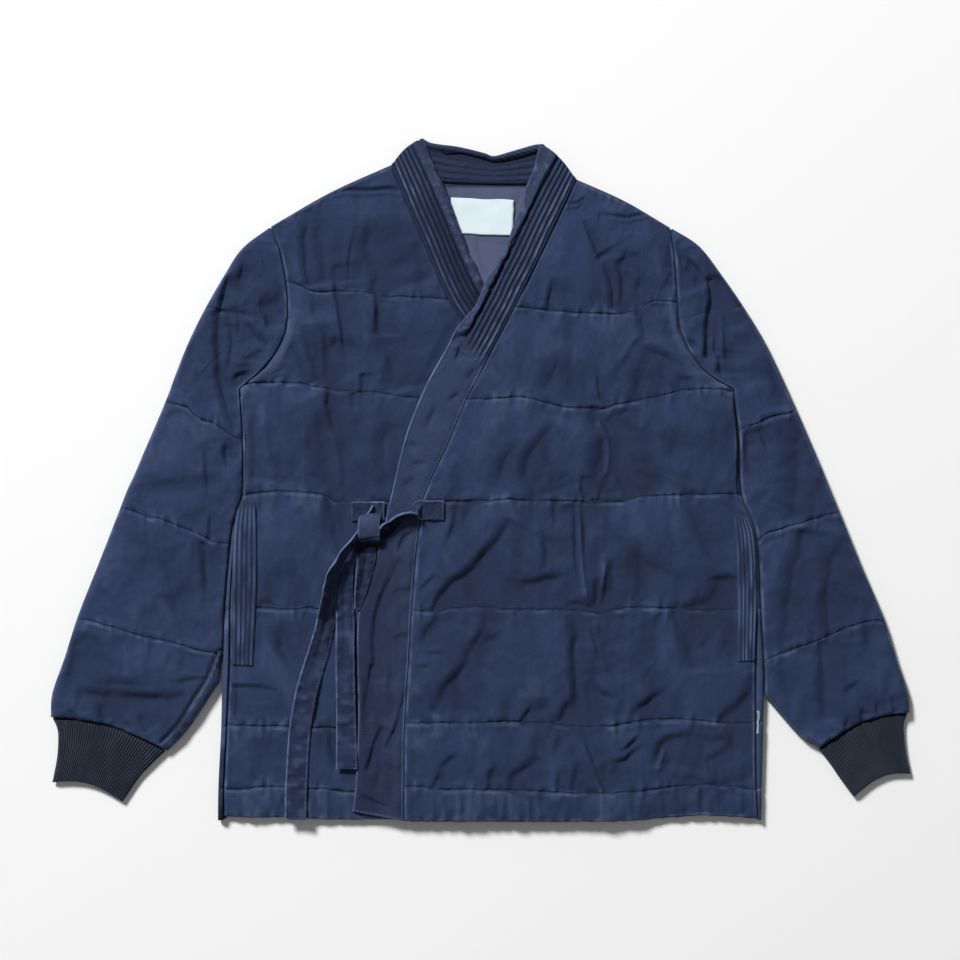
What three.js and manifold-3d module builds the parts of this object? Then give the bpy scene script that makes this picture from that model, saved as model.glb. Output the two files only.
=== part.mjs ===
// Quilted kimono jacket, buttonless and tied at the waist, laid out flat on its back with the front up.
// Millimetres. +X runs towards the wearer's left, +Y from the hem to the neck, +Z up from the table.
//
// The cloth is padded and stitched in level channels. Each piece is a closed wall of cloth: body panels,
// bands and straps are walls over a grid of places, and sleeves and cuffs are flattened tubes with a slit
// inside.
// Sewn pieces meet edge to edge with a small gap, and pieces that lie on each other keep a small gap too.
import * as THREE from "three";
import Module from "manifold-3d";
import { mergeVertices } from "three/addons/utils/BufferGeometryUtils.js";

const wasm = await Module();
wasm.setup();

// ---------------------------------------------------------------- driving dimensions

const SEAM_GAP = 0.5; // in plan, between pieces sewn edge to edge
const LAYER_GAP = 0.6; // upwards, between pieces that lie on each other

const BACK_WALL = 5; // padded back, pressed flat by what lies on it
const FRONT_LOW = BACK_WALL + LAYER_GAP; // where a front's inner face lies
const SEAM_WALL = 3.2; // quilted cloth at a stitched channel line
const PUFF_WALL = 7; // quilted cloth halfway between two lines
const PRESSED_WALL = 4; // the under front where the over front lies on it
const LAP_LOW = FRONT_LOW + PRESSED_WALL + 1; // inner face of what laps over
const LAP_CLEAR = 11; // the over front stays up this far past the hidden edge below it
const LAP_RAMP = 36; // and then comes down over this width

const LINING_LOW = 5.4;
const LINING_WALL = 0.8;
const LABEL_LOW = 6.5;
const LABEL_WALL = 0.7;

const BAND_WALL = 4.2; // collar and front bands
const BAND_LOW = 7.6; // inner face of the collar beside the neck opening
const BAND_EDGE_LIFT = 0.9; // the band's folded edge stands this much off the cloth
const COLLAR_BACK_TOP = 8.6; // the collar lies on the table behind the neck
const RIB_HEIGHT = 0.7; // a stitched ridge of the collar above its groove
const RIBS = 5;
const RIBBED_SHARE = 0.68; // share of the collar's width that is ridged, from the seam

const RIM_TOP = 9.4; // the back turns up round the side as far as the side seam
const SLEEVE_SEAM = 10.5; // both layers of a sleeve at a channel line
const SLEEVE_PUFF = 15; // and between two lines
const SLIT = 2.4; // free height inside a sleeve or cuff
const SLIT_LEVEL = 0.45; // of its height
const CUFF_HEIGHT = 8.5;
const WELT_WALL = 2.6;
const WELT_RIDGES = 5;
const STRAP_WALL = 2.4; // a tie is a strip folded in four and stitched
const STRAP_WIDTH = 23;

const NAVY = 0x2f3d5c;
const CLOTH = { color: NAVY, roughness: 0.85, metalness: 0 };
const BAND_CLOTH = { color: 0x313d59, roughness: 0.85, metalness: 0 };
const RIB_KNIT = { color: 0x262c3a, roughness: 0.95, metalness: 0 };
const LINING = { color: 0x53597a, roughness: 0.55, metalness: 0 };
const WHITE_TAPE = { color: 0xdde6e8, roughness: 0.8, metalness: 0 };

// ---------------------------------------------------------------- tables of the cut, as it lies

// The body from hem (at 0) to shoulder (at 1). left and right are the edges on the table's -X and +X side.
// sag lets a line dip between its ends. A corner row keeps its kink.
// The over front is the wearer's left, from its band seam to the side seam and armhole.
const OVER_FRONT = [
  { at: 0.0, leftX: -79, leftY: -353, rightX: 289, rightY: -351, sag: 2 }, // hem
  { at: 0.05, leftX: -79, leftY: -319, rightX: 288, rightY: -321, sag: 0 }, // hem stitching
  { at: 0.15, leftX: -78, leftY: -250, rightX: 286, rightY: -251, sag: 1 },
  { at: 0.31, leftX: -71, leftY: -134, rightX: 287, rightY: -134, sag: 0 },
  { at: 0.4, leftX: -66, leftY: -74, rightX: 284, rightY: -74, sag: 0 },
  { at: 0.48, leftX: -60, leftY: -21, rightX: 268, rightY: -16, sag: -2 },
  { at: 0.56, leftX: -35, leftY: 34, rightX: 267, rightY: 42, sag: -6 },
  { at: 0.63, leftX: -15, leftY: 82, rightX: 263, rightY: 93, sag: -13, corner: true }, // underarm
  { at: 0.69, leftX: 4, leftY: 118, rightX: 231, rightY: 115, sag: -8 },
  { at: 0.76, leftX: 25, leftY: 158, rightX: 209, rightY: 152, sag: -7 },
  { at: 0.8, leftX: 36, leftY: 179, rightX: 205, rightY: 184, sag: -7 },
  { at: 0.9, leftX: 66, leftY: 240, rightX: 202, rightY: 228, sag: 0 },
  { at: 1.0, leftX: 100, leftY: 312, rightX: 197, rightY: 262, sag: 3 }, // shoulder
];
// The under front is the wearer's right, from the side seam and armhole to its band seam.
const UNDER_FRONT = [
  { at: 0.0, leftX: -264, leftY: -350, rightX: 95, rightY: -352, sag: -2 },
  { at: 0.05, leftX: -263, leftY: -319, rightX: 95, rightY: -319, sag: -2 },
  { at: 0.15, leftX: -262, leftY: -256, rightX: 94, rightY: -250, sag: 0 },
  { at: 0.31, leftX: -262, leftY: -135, rightX: 87, rightY: -134, sag: 0 },
  { at: 0.4, leftX: -257, leftY: -74, rightX: 82, rightY: -74, sag: 0 },
  { at: 0.48, leftX: -247, leftY: -16, rightX: 76, rightY: -22, sag: 3 },
  { at: 0.56, leftX: -246, leftY: 42, rightX: 51, rightY: 34, sag: 3 },
  { at: 0.63, leftX: -249, leftY: 95, rightX: 31, rightY: 82, sag: 3, corner: true },
  { at: 0.69, leftX: -221, leftY: 120, rightX: 8, rightY: 124, sag: 0 },
  { at: 0.76, leftX: -202, leftY: 154, rightX: -20, rightY: 167, sag: 0 },
  { at: 0.8, leftX: -200, leftY: 188, rightX: -34, rightY: 191, sag: 0 },
  { at: 0.9, leftX: -206, leftY: 230, rightX: -66, rightY: 264, sag: 0 },
  { at: 1.0, leftX: -217, leftY: 263, rightX: -92, rightY: 327, sag: 3 },
];
// The bands' free edges, at the same rows: the over band crosses the front, and the under band mirrors it.
const OVER_BAND_EDGE = [
  { at: 0.0, x: -132, y: -343 },
  { at: 0.05, x: -129, y: -318 },
  { at: 0.15, x: -126, y: -250 },
  { at: 0.31, x: -126, y: -140 },
  { at: 0.4, x: -110, y: -88 },
  { at: 0.48, x: -96, y: -34 },
  { at: 0.56, x: -78, y: 42 },
  { at: 0.63, x: -57, y: 96 },
  { at: 0.69, x: -33, y: 140 },
  { at: 0.76, x: -5, y: 178 },
  { at: 0.8, x: 5, y: 203 },
  { at: 0.85, x: 19, y: 227 },
  { at: 0.9, x: 33, y: 256 },
  { at: 0.95, x: 46, y: 293 },
  { at: 1.0, x: 65, y: 349 },
];
const UNDER_BAND_EDGE = [
  { at: 0.0, x: 148, y: -343 },
  { at: 0.05, x: 145, y: -318 },
  { at: 0.15, x: 140, y: -250 },
  { at: 0.31, x: 136, y: -140 },
  { at: 0.4, x: 124, y: -84 },
  { at: 0.48, x: 112, y: -36 },
  { at: 0.56, x: 94, y: 42 },
  { at: 0.63, x: 73, y: 96 },
  { at: 0.69, x: 43, y: 146 },
  { at: 0.76, x: 15, y: 188 },
  { at: 0.8, x: -1, y: 212 },
  { at: 0.85, x: -15, y: 246 },
  { at: 0.9, x: -28, y: 281 },
  { at: 0.95, x: -41, y: 312 },
  { at: 1.0, x: -60, y: 355 },
];
// Where the back turns up at the sides, below the arms.
const SIDE_FOLD = [
  { at: 0.0, leftX: -272, leftY: -355, rightX: 292, rightY: -355 },
  { at: 0.15, leftX: -269, leftY: -256, rightX: 291, rightY: -251 },
  { at: 0.31, leftX: -267, leftY: -135, rightX: 293, rightY: -134 },
  { at: 0.4, leftX: -261, leftY: -74, rightX: 289, rightY: -74 },
  { at: 0.48, leftX: -251.5, leftY: -16, rightX: 273, rightY: -16 },
  { at: 0.56, leftX: -250.5, leftY: 42, rightX: 271, rightY: 42 },
  { at: 0.63, leftX: -252, leftY: 93, rightX: 266, rightY: 91 },
];
// The back's top edge, from one armhole to the other over the shoulders and round the neck.
const BACK_TOP = [
  { at: 0.0, x: -217, y: 263 },
  { at: 0.15, x: -155, y: 298.5 },
  { at: 0.3, x: -92, y: 327, corner: true },
  { at: 0.42, x: -46, y: 309 },
  { at: 0.53, x: 4, y: 306 },
  { at: 0.65, x: 56, y: 306 },
  { at: 0.76, x: 100, y: 312, corner: true },
  { at: 0.88, x: 150, y: 289.5 },
  { at: 1.0, x: 197, y: 262 },
];
// The collar's top edge behind the neck, from fold to fold. It dips at the middle.
const COLLAR_TOP = [
  { at: 0.0, x: -60, y: 355 },
  { at: 0.12, x: -50, y: 350 },
  { at: 0.3, x: -22, y: 346 },
  { at: 0.5, x: 5, y: 339.5 },
  { at: 0.58, x: 14, y: 336.5 },
  { at: 0.72, x: 33, y: 341.5 },
  { at: 0.9, x: 56, y: 348 },
  { at: 1.0, x: 65, y: 349 },
];
// The sleeves from armhole (at 0) to cuff seam (at 1): the outer fold and the one beside the body.
const RIGHT_SLEEVE = [
  { at: 0.0, outX: -217, outY: 263, inX: -250, inY: 95 },
  { at: 0.04, outX: -231.5, outY: 254, inX: -254.5, inY: 95 },
  { at: 0.08, outX: -245, outY: 243, inX: -256, inY: 88 },
  { at: 0.2, outX: -286, outY: 178, inX: -254, inY: 72 },
  { at: 0.38, outX: -326, outY: 82, inX: -252.5, inY: 42 },
  { at: 0.5, outX: -350, outY: 26, inX: -254, inY: -10 },
  { at: 0.62, outX: -373, outY: -28, inX: -261, inY: -64 },
  { at: 0.72, outX: -394, outY: -82, inX: -267, inY: -118 },
  { at: 0.84, outX: -418, outY: -143, inX: -270, inY: -180 },
  { at: 0.9, outX: -431, outY: -184, inX: -272, inY: -212, corner: true },
  { at: 0.96, outX: -444, outY: -222, inX: -303, inY: -259 },
  { at: 1.0, outX: -447, outY: -245, inX: -324, inY: -281 },
];
const LEFT_SLEEVE = [
  { at: 0.0, outX: 197, outY: 262, inX: 264, inY: 94 },
  { at: 0.04, outX: 212, outY: 254, inX: 268.5, inY: 94 },
  { at: 0.08, outX: 226, outY: 244, inX: 270.5, inY: 88 },
  { at: 0.2, outX: 279, outY: 173, inX: 271.5, inY: 74 },
  { at: 0.38, outX: 331, outY: 68, inX: 273, inY: 48 },
  { at: 0.5, outX: 352, outY: 18, inX: 275.5, inY: -12 },
  { at: 0.62, outX: 373, outY: -33, inX: 290, inY: -66 },
  { at: 0.72, outX: 395, outY: -87, inX: 294.5, inY: -118 },
  { at: 0.84, outX: 420, outY: -146, inX: 295, inY: -187 },
  { at: 0.9, outX: 432, outY: -185, inX: 294, inY: -224, corner: true },
  { at: 0.96, outX: 444, outY: -221, inX: 332, inY: -266 },
  { at: 1.0, outX: 446, outY: -241, inX: 351, inY: -278 },
];
// The knitted cuffs, from the sleeve seam (at 0) to the wrist (at 1).
const RIGHT_CUFF = [
  { at: 0.0, outX: -441, outY: -248, inX: -328, inY: -282 },
  { at: 0.2, outX: -438, outY: -260, inX: -338, inY: -292 },
  { at: 0.6, outX: -439, outY: -287, inX: -354, inY: -309 },
  { at: 1.0, outX: -444, outY: -314, inX: -371, inY: -334 },
];
const LEFT_CUFF = [
  { at: 0.0, outX: 443, outY: -243, inX: 353, inY: -280 },
  { at: 0.2, outX: 440, outY: -254, inX: 361, inY: -291 },
  { at: 0.6, outX: 442, outY: -281, inX: 374, inY: -310 },
  { at: 1.0, outX: 447, outY: -305, inX: 388, inY: -329 },
];
const CUFF_BOW = 9; // the cuff seam and the wrist edge bow this far towards the arm

// The largest folds: soft troughs from one place to another, with their half width and depth.
const FOLDS = [
  { x: 30, y: -58, toX: -62, toY: -162, reach: 20, depth: 2.2 }, // over front, from the knot's pull
  { x: 22, y: -172, toX: -42, toY: -238, reach: 19, depth: 1.7 },
  { x: 106, y: 290, toX: 142, toY: 178, reach: 18, depth: 1.8 }, // over front, chest
  { x: 126, y: 92, toX: 132, toY: 24, reach: 19, depth: 1.8 },
  { x: 236, y: -224, toX: 262, toY: -290, reach: 24, depth: 2 },
  { x: -178, y: 284, toX: -178, toY: 204, reach: 18, depth: 1.8 }, // under front, chest
  { x: -108, y: 200, toX: -107, toY: 98, reach: 18, depth: 2 },
  { x: -148, y: 190, toX: -162, toY: 0, reach: 19, depth: 1.6 },
  { x: -272, y: 214, toX: -266, toY: 62, reach: 15, depth: 2.4 }, // right sleeve, down from its cap
  { x: -230, y: 178, toX: -228, toY: 150, reach: 14, depth: 2 },
  { x: 234, y: 232, toX: 250, toY: 112, reach: 15, depth: 2.4 }, // left sleeve, down from its cap
];

// Channel lines, as places from hem to shoulder and from armhole to cuff.
const BODY_LINES = [0, 0.05, 0.15, 0.31, 0.48, 0.63, 0.8, 1];
const SLEEVE_LINES = [0, 0.2, 0.38, 0.62, 0.84, 1];
const COLLAR_END = 0.69; // the ridged collar ends here, and the plain front bands go on to the hem
const BAND_END = COLLAR_END - 0.006;
const UNDERARM = 0.63;

// ---------------------------------------------------------------- curves and grids

// A smooth function through one column of a table, kinked at corner rows.
function through(rows, column) {
  const slope = (i, side) => {
    const [before, here, after] = [rows[i - 1], rows[i], rows[i + 1]];
    const rise = (a, b) => (b[column] - a[column]) / (b.at - a.at);
    if (!before || (here.corner && after && side > 0)) return rise(here, after);
    if (!after || (here.corner && side < 0)) return rise(before, here);
    return rise(before, after);
  };
  return (at) => {
    let i = 0;
    while (i < rows.length - 2 && at > rows[i + 1].at) i += 1;
    const [a, b] = [rows[i], rows[i + 1]];
    const h = b.at - a.at;
    const t = (at - a.at) / h;
    const t2 = t * t;
    const t3 = t2 * t;
    return (
      (2 * t3 - 3 * t2 + 1) * a[column] +
      (t3 - 2 * t2 + t) * h * slope(i, 1) +
      (3 * t2 - 2 * t3) * b[column] +
      (t3 - t2) * h * slope(i + 1, -1)
    );
  };
}

function edge(rows, x = "x", y = "y") {
  const [alongX, alongY] = [through(rows, x), through(rows, y)];
  return (at) => new THREE.Vector2(alongX(at), alongY(at));
}

// Straight runs between a curve's places at some stops, which rise from first to last.
const straightened = (curve, stops) => (v) => {
  let i = 1;
  while (i < stops.length - 1 && v > stops[i]) i += 1;
  const [a, b] = [stops[i - 1], stops[i]];
  return curve(a).clone().lerp(curve(b), (v - a) / (b - a));
};

const mix = (a, b, t) => a + (b - a) * t;
const smooth = (t) => {
  const c = Math.min(1, Math.max(0, t));
  return c * c * (3 - 2 * c);
};

// How far the folds lower a face at a place.
function foldDepth(x, y) {
  const here = new THREE.Vector3(x, y, 0);
  const depths = FOLDS.map((fold) => {
    const [from, to] = [new THREE.Vector3(fold.x, fold.y, 0), new THREE.Vector3(fold.toX, fold.toY, 0)];
    const line = new THREE.Line3(from, to);
    const away = line.closestPointToPoint(here, true, new THREE.Vector3()).distanceTo(here);
    return fold.depth * (1 - smooth(away / fold.reach));
  });
  return Math.max(...depths);
}

// The x at which an edge that climbs from hem to neck reaches height y.
function crossing(curve, y) {
  let [low, high] = [0, 1];
  for (let i = 0; i < 40; i += 1) {
    const middle = (low + high) / 2;
    if (curve(middle).y < y) low = middle;
    else high = middle;
  }
  return curve(low).x;
}

// Places along a run of channels: each line, and some shares of the way from it to the next.
function between(lines, shares, extra) {
  const inside = lines.slice(1).flatMap((line, i) => shares.map((share) => mix(lines[i], line, share)));
  return [...lines, ...inside, ...extra].sort((a, b) => a - b);
}

const BODY_ROWS = between(BODY_LINES, [0.24, 0.76], [0.006, 0.637, COLLAR_END, 0.9, 0.993]);
const SLEEVE_ROWS = between(SLEEVE_LINES, [0.5], [0.04, 0.9]);

// Even shares from 0 to 1.
const steps = (count) => Array.from({ length: count + 1 }, (_, i) => i / count);

// 0 on a channel line and 1 halfway to the next: how full the padding is.
function fullness(lines, at) {
  const i = Math.max(1, lines.findIndex((line) => at <= line + 1e-9));
  const t = (at - lines[i - 1]) / (lines[i] - lines[i - 1]);
  return Math.sqrt(Math.max(0, 4 * t * (1 - t)));
}

// Drops the top face near an edge, so that the wall ends in a soft edge.
const roundedAt = (t, over) => Math.min(1, 0.45 + 0.55 * Math.sqrt(Math.max(0, Math.min(t, 1 - t)) / over));

function solidMesh(name, finish, position, index) {
  const geometry = new THREE.BufferGeometry();
  geometry.setAttribute("position", new THREE.Float32BufferAttribute(position, 3));
  geometry.setIndex(index);
  geometry.computeVertexNormals();
  const mesh = new THREE.Mesh(geometry, new THREE.MeshStandardMaterial(finish));
  mesh.name = name;
  return mesh;
}

// A closed wall over a grid: place(u, v) is in plan, with u towards +X and v towards +Y, and low and high are
// the heights of its two faces there.
function clothWall(name, finish, us, vs, place, low, high) {
  const position = [];
  for (const face of [low, high])
    for (const v of vs)
      for (const u of us) {
        const p = place(u, v);
        position.push(p.x, p.y, face(p.x, p.y, u, v));
      }
  const [columns, rows] = [us.length, vs.length];
  const under = (i, j) => j * columns + i;
  const over = (i, j) => columns * rows + under(i, j);
  const index = [];
  const quad = (a, b, c, d) => index.push(a, b, c, a, c, d);
  for (let j = 0; j < rows - 1; j += 1)
    for (let i = 0; i < columns - 1; i += 1) {
      quad(over(i, j), over(i + 1, j), over(i + 1, j + 1), over(i, j + 1));
      quad(under(i, j), under(i, j + 1), under(i + 1, j + 1), under(i + 1, j));
    }
  for (let i = 0; i < columns - 1; i += 1) {
    quad(under(i, 0), under(i + 1, 0), over(i + 1, 0), over(i, 0));
    quad(under(i + 1, rows - 1), under(i, rows - 1), over(i, rows - 1), over(i + 1, rows - 1));
  }
  for (let j = 0; j < rows - 1; j += 1) {
    quad(under(0, j + 1), under(0, j), over(0, j), over(0, j + 1));
    quad(under(columns - 1, j), under(columns - 1, j + 1), over(columns - 1, j + 1), over(columns - 1, j));
  }
  return solidMesh(name, finish, position, index);
}

// Straight runs between neighbouring edges: u from 0 to 1 lies between the first two, and so on.
// A row dips by its sag between the outermost edges.
const acrossEdges = (edges, sag) => (u, v) => {
  const i = Math.min(edges.length - 2, Math.floor(u));
  const p = edges[i](v).clone().lerp(edges[i + 1](v), u - i);
  if (sag) {
    const [first, last] = [edges[0](v), edges[edges.length - 1](v)];
    p.y += sag(v) * Math.sin(Math.PI * smooth((p.x - first.x) / (last.x - first.x)));
  }
  return p;
};

// A flattened tube: each ring has an outer and an inner loop of points, and both ends are open.
function tube(name, finish, rings) {
  const count = rings[0].outer.length;
  const position = rings.flatMap(({ outer, inner }) => [...outer, ...inner].flat());
  const outside = (i, j) => j * 2 * count + (i % count);
  const inside = (i, j) => outside(i, j) + count;
  const index = [];
  const quad = (a, b, c, d) => index.push(a, b, c, a, c, d);
  const last = rings.length - 1;
  for (let i = 0; i < count; i += 1) {
    for (let j = 0; j < last; j += 1) {
      quad(outside(i, j), outside(i, j + 1), outside(i + 1, j + 1), outside(i + 1, j));
      quad(inside(i, j), inside(i + 1, j), inside(i + 1, j + 1), inside(i, j + 1));
    }
    quad(outside(i, 0), outside(i + 1, 0), inside(i + 1, 0), inside(i, 0));
    quad(outside(i, last), inside(i, last), inside(i + 1, last), outside(i + 1, last));
  }
  const mesh = solidMesh(name, finish, position, index);
  if (signedVolume(mesh.geometry) < 0) return solidMesh(name, finish, position, index.toReversed());
  return mesh;
}

function signedVolume(geometry) {
  const [points, index] = [geometry.getAttribute("position"), geometry.index];
  const corner = (k) => new THREE.Vector3().fromBufferAttribute(points, index.getX(k));
  let six = 0;
  for (let k = 0; k < index.count; k += 3) six += corner(k).dot(corner(k + 1).cross(corner(k + 2)));
  return six / 6;
}

// Several walls joined into one piece.
function joined(name, finish, meshes) {
  const solids = meshes.map(({ geometry }) => {
    const bare = new THREE.BufferGeometry();
    bare.setAttribute("position", geometry.getAttribute("position"));
    bare.setIndex(geometry.index);
    const merged = mergeVertices(bare, 1e-3);
    return new wasm.Manifold(
      new wasm.Mesh({
        numProp: 3,
        vertProperties: merged.getAttribute("position").array,
        triVerts: new Uint32Array(merged.index.array),
      }),
    );
  });
  const whole = solids.reduce((sum, next) => sum.add(next)).getMesh();
  return solidMesh(name, finish, [...whole.vertProperties], [...whole.triVerts]);
}

// The highest point of some pieces within reach of a place, seen from above.
const topOf = (meshes, reach) => (x, y) => {
  const around = [[0, 0], [reach, 0], [-reach, 0], [0, reach], [0, -reach]];
  const down = new THREE.Vector3(0, 0, -1);
  const heights = around.map(([dx, dy]) => {
    const ray = new THREE.Raycaster(new THREE.Vector3(x + dx, y + dy, 100), down);
    const hit = ray.intersectObjects(meshes, false)[0];
    return hit ? hit.point.z : 0;
  });
  return Math.max(...heights);
};

// ---------------------------------------------------------------- body panels

const overSeam = edge(OVER_FRONT, "leftX", "leftY");
const overSide = edge(OVER_FRONT, "rightX", "rightY");
const underSide = edge(UNDER_FRONT, "leftX", "leftY");
const underSeam = edge(UNDER_FRONT, "rightX", "rightY");
const overBandEdge = edge(OVER_BAND_EDGE);
const underBandEdge = edge(UNDER_BAND_EDGE);
const foldLeft = edge(SIDE_FOLD, "leftX", "leftY");
const foldRight = edge(SIDE_FOLD, "rightX", "rightY");

const moved = (curve, dx) => (v) => curve(v).add(new THREE.Vector2(dx, 0));

// 1 where the under front and its band lie below a place, falling to 0 past their hidden edge.
const covered = (x, y) => 1 - smooth((x - crossing(underBandEdge, y) - LAP_CLEAR) / LAP_RAMP);
const lapLow = (x, y) => mix(FRONT_LOW, LAP_LOW, covered(x, y));

function overFront() {
  const inner = moved(overSeam, SEAM_GAP / 2);
  const outer = moved(overSide, -SEAM_GAP / 2);
  const hiddenEdge = (past, least) => (v) => {
    const [from, to] = [inner(v), outer(v)];
    const x = Math.max(crossing(underBandEdge, from.y) + past, from.x + least);
    return from.clone().lerp(to, (x - from.x) / (to.x - from.x));
  };
  const place = acrossEdges(
    [inner, hiddenEdge(LAP_CLEAR, 12), hiddenEdge(LAP_CLEAR + LAP_RAMP, 30), outer],
    through(OVER_FRONT, "sag"),
  );
  const us = [0, 0.06, 0.25, 0.5, 0.75, 1, 1.5, 2, 2.3, 2.65, 2.98, 3];
  const wall = (x, y, u, v) => {
    const full = fullness(BODY_LINES, v);
    const puffed = mix(SEAM_WALL, PUFF_WALL, full) - full * foldDepth(x, y);
    return puffed * roundedAt(u / 3, 0.02) * roundedAt(v, 0.006);
  };
  return clothWall("front_left", CLOTH, us, BODY_ROWS, place, lapLow, (x, y, u, v) =>
    lapLow(x, y) + wall(x, y, u, v));
}

function underFront() {
  const outer = moved(underSide, SEAM_GAP / 2);
  const inner = moved(underSeam, -SEAM_GAP / 2);
  // The over band's free edge crosses this front; from just outside it, the padding is pressed flat.
  const lapEdge = (before, least) => (v) => {
    const [from, to] = [outer(v), inner(v)];
    const x = Math.min(crossing(overBandEdge, to.y) - before, to.x - least);
    return from.clone().lerp(to, (x - from.x) / (to.x - from.x));
  };
  const place = acrossEdges([outer, lapEdge(26, 24), lapEdge(5, 6), inner], through(UNDER_FRONT, "sag"));
  const us = [0, 0.04, 0.2, 0.4, 0.6, 0.8, 1, 1.5, 2, 2.97, 3];
  const wall = (x, y, u, v) => {
    const free = smooth((crossing(overBandEdge, y) - 5 - x) / 20);
    const full = fullness(BODY_LINES, v);
    const puffed = mix(SEAM_WALL, PUFF_WALL, full) - full * foldDepth(x, y);
    const height = mix(Math.min(puffed, PRESSED_WALL), puffed, free);
    return height * roundedAt(u / 3, 0.013) * roundedAt(v, 0.006);
  };
  return clothWall(
    "front_right", CLOTH, us, BODY_ROWS, place,
    () => FRONT_LOW,
    (x, y, u, v) => FRONT_LOW + wall(x, y, u, v),
  );
}

// Places along the back's top edge that are sewn to the collar.
const NECK_COLUMNS = [0.3, 0.36, 0.42, 0.475, 0.53, 0.59, 0.65, 0.705, 0.76];

function back() {
  const top = edge(BACK_TOP);
  // Below the arms the panel reaches the side folds, and above them the armholes.
  const left = (v) => (v < UNDERARM ? foldLeft(v) : moved(underSide, SEAM_GAP / 2)(v));
  const right = (v) => (v < UNDERARM ? foldRight(v) : moved(overSide, -SEAM_GAP / 2)(v));
  const place = (u, v) => {
    const straight = left(v).clone().lerp(right(v), u);
    const rise = top(u).sub(left(1).clone().lerp(right(1), u));
    const share = smooth((v - UNDERARM) / (1 - UNDERARM));
    return straight.addScaledVector(rise, share);
  };
  const us = [0, 0.01, 0.15, ...NECK_COLUMNS, 0.88, 0.99, 1];
  const plate = clothWall(
    "plate", CLOTH, us, BODY_ROWS.filter((v, i) => i % 2 === 0 || v >= UNDERARM - 1e-6), place,
    () => 0,
    (x, y, u) => BACK_WALL * roundedAt(u, 0.01),
  );
  const rim = (fold, seam, inward) => {
    const rows = [...BODY_ROWS.filter((v) => v < UNDERARM - 0.02), UNDERARM - 0.01];
    const edges = [fold, moved(seam, inward)];
    if (inward > 0) edges.reverse();
    const towardsFold = (u) => (inward > 0 ? 1 - u : u);
    return clothWall("rim", CLOTH, [0, 0.35, 1], rows, acrossEdges(edges), () => 1, (x, y, u) =>
      mix(RIM_TOP - 2.6, RIM_TOP, Math.min(1, towardsFold(u) / 0.35)));
  };
  return joined("back", CLOTH, [
    plate,
    rim(foldLeft, underSide, -SEAM_GAP),
    rim(foldRight, overSide, SEAM_GAP),
  ]);
}

// ---------------------------------------------------------------- bands and collar

// Ridges run along the collar from its seam side; a smooth folded strip is left along its free edge.
const ridge = (across) => {
  if (across > RIBBED_SHARE) return 0;
  return RIB_HEIGHT * Math.abs(Math.sin((Math.PI * RIBS * across) / RIBBED_SHARE));
};
const BAND_COLUMNS = [0, 0.05, 0.5, 0.95, 1];
const COLLAR_COLUMNS = [
  0,
  ...steps(2 * RIBS).slice(1).map((share) => share * RIBBED_SHARE),
  0.85,
  0.97,
  1,
];

function overBand() {
  const rows = [...BODY_ROWS.filter((v) => v < BAND_END), BAND_END];
  const place = acrossEdges([overBandEdge, moved(overSeam, -SEAM_GAP / 2)]);
  const low = (x, y, u) => LAP_LOW + BAND_EDGE_LIFT * smooth(1 - u / 0.4);
  return clothWall("front_band_left", BAND_CLOTH, BAND_COLUMNS, rows, place, low, (x, y, u, v) =>
    low(x, y, u) + BAND_WALL * roundedAt(u, 0.05) * roundedAt(v / BAND_END, 0.01));
}

function underBand() {
  const rows = [...BODY_ROWS.filter((v) => v < BAND_END), BAND_END];
  const place = acrossEdges([moved(underSeam, SEAM_GAP / 2), underBandEdge]);
  return clothWall("front_band_right", BAND_CLOTH, [0, 0.5, 1], rows, place, () => FRONT_LOW, () =>
    FRONT_LOW + PRESSED_WALL);
}

function collar() {
  const rows = BODY_ROWS.filter((v) => v >= COLLAR_END);
  const raised = (across) => BAND_EDGE_LIFT * smooth((across - 0.6) / 0.4);
  const body = (across, v) => BAND_WALL * roundedAt(across, 0.05) + ridge(across) * roundedAt(v, 0.02);
  const overLow = (across) => (x, y) => mix(BAND_LOW, LAP_LOW, covered(x, y)) + raised(across);
  const over = clothWall(
    "over", BAND_CLOTH, COLLAR_COLUMNS.map((c) => 1 - c).reverse(), rows,
    acrossEdges([overBandEdge, moved(overSeam, -SEAM_GAP / 2)]),
    (x, y, u) => overLow(1 - u)(x, y),
    (x, y, u, v) => overLow(1 - u)(x, y) + body(1 - u, v),
  );
  // Below the crossing the under strip is pressed flat by the over one.
  const pressed = (x, y) => smooth((x - crossing(overBandEdge, y) + 9) / 8);
  const under = clothWall(
    "under", BAND_CLOTH, COLLAR_COLUMNS, rows,
    acrossEdges([moved(underSeam, SEAM_GAP / 2), underBandEdge]),
    (x, y, u) => BAND_LOW + raised(u) * (1 - pressed(x, y)),
    (x, y, u, v) =>
      BAND_LOW + mix(raised(u) + body(u, v), LAP_LOW - LAYER_GAP - BAND_LOW, pressed(x, y)),
  );
  // Behind the neck the band lies on the table, its inner face up, folded under both strips.
  const top = edge(COLLAR_TOP);
  const neck = edge(BACK_TOP);
  const [first, last] = [NECK_COLUMNS[0], NECK_COLUMNS[NECK_COLUMNS.length - 1]];
  const behind = clothWall(
    "behind", BAND_CLOTH, NECK_COLUMNS, [0, 0.1, 0.5, 0.9, 1],
    (u, v) => {
      const sewn = neck(u).add(new THREE.Vector2(0, SEAM_GAP));
      return sewn.lerp(top((u - first) / (last - first)), v);
    },
    () => 0,
    (x, y, u, v) => COLLAR_BACK_TOP * mix(0.8, 1, Math.sin(Math.PI * v)),
  );
  return joined("collar", BAND_CLOTH, [behind, over, under]);
}

// ---------------------------------------------------------------- lining and label inside the neck

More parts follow.
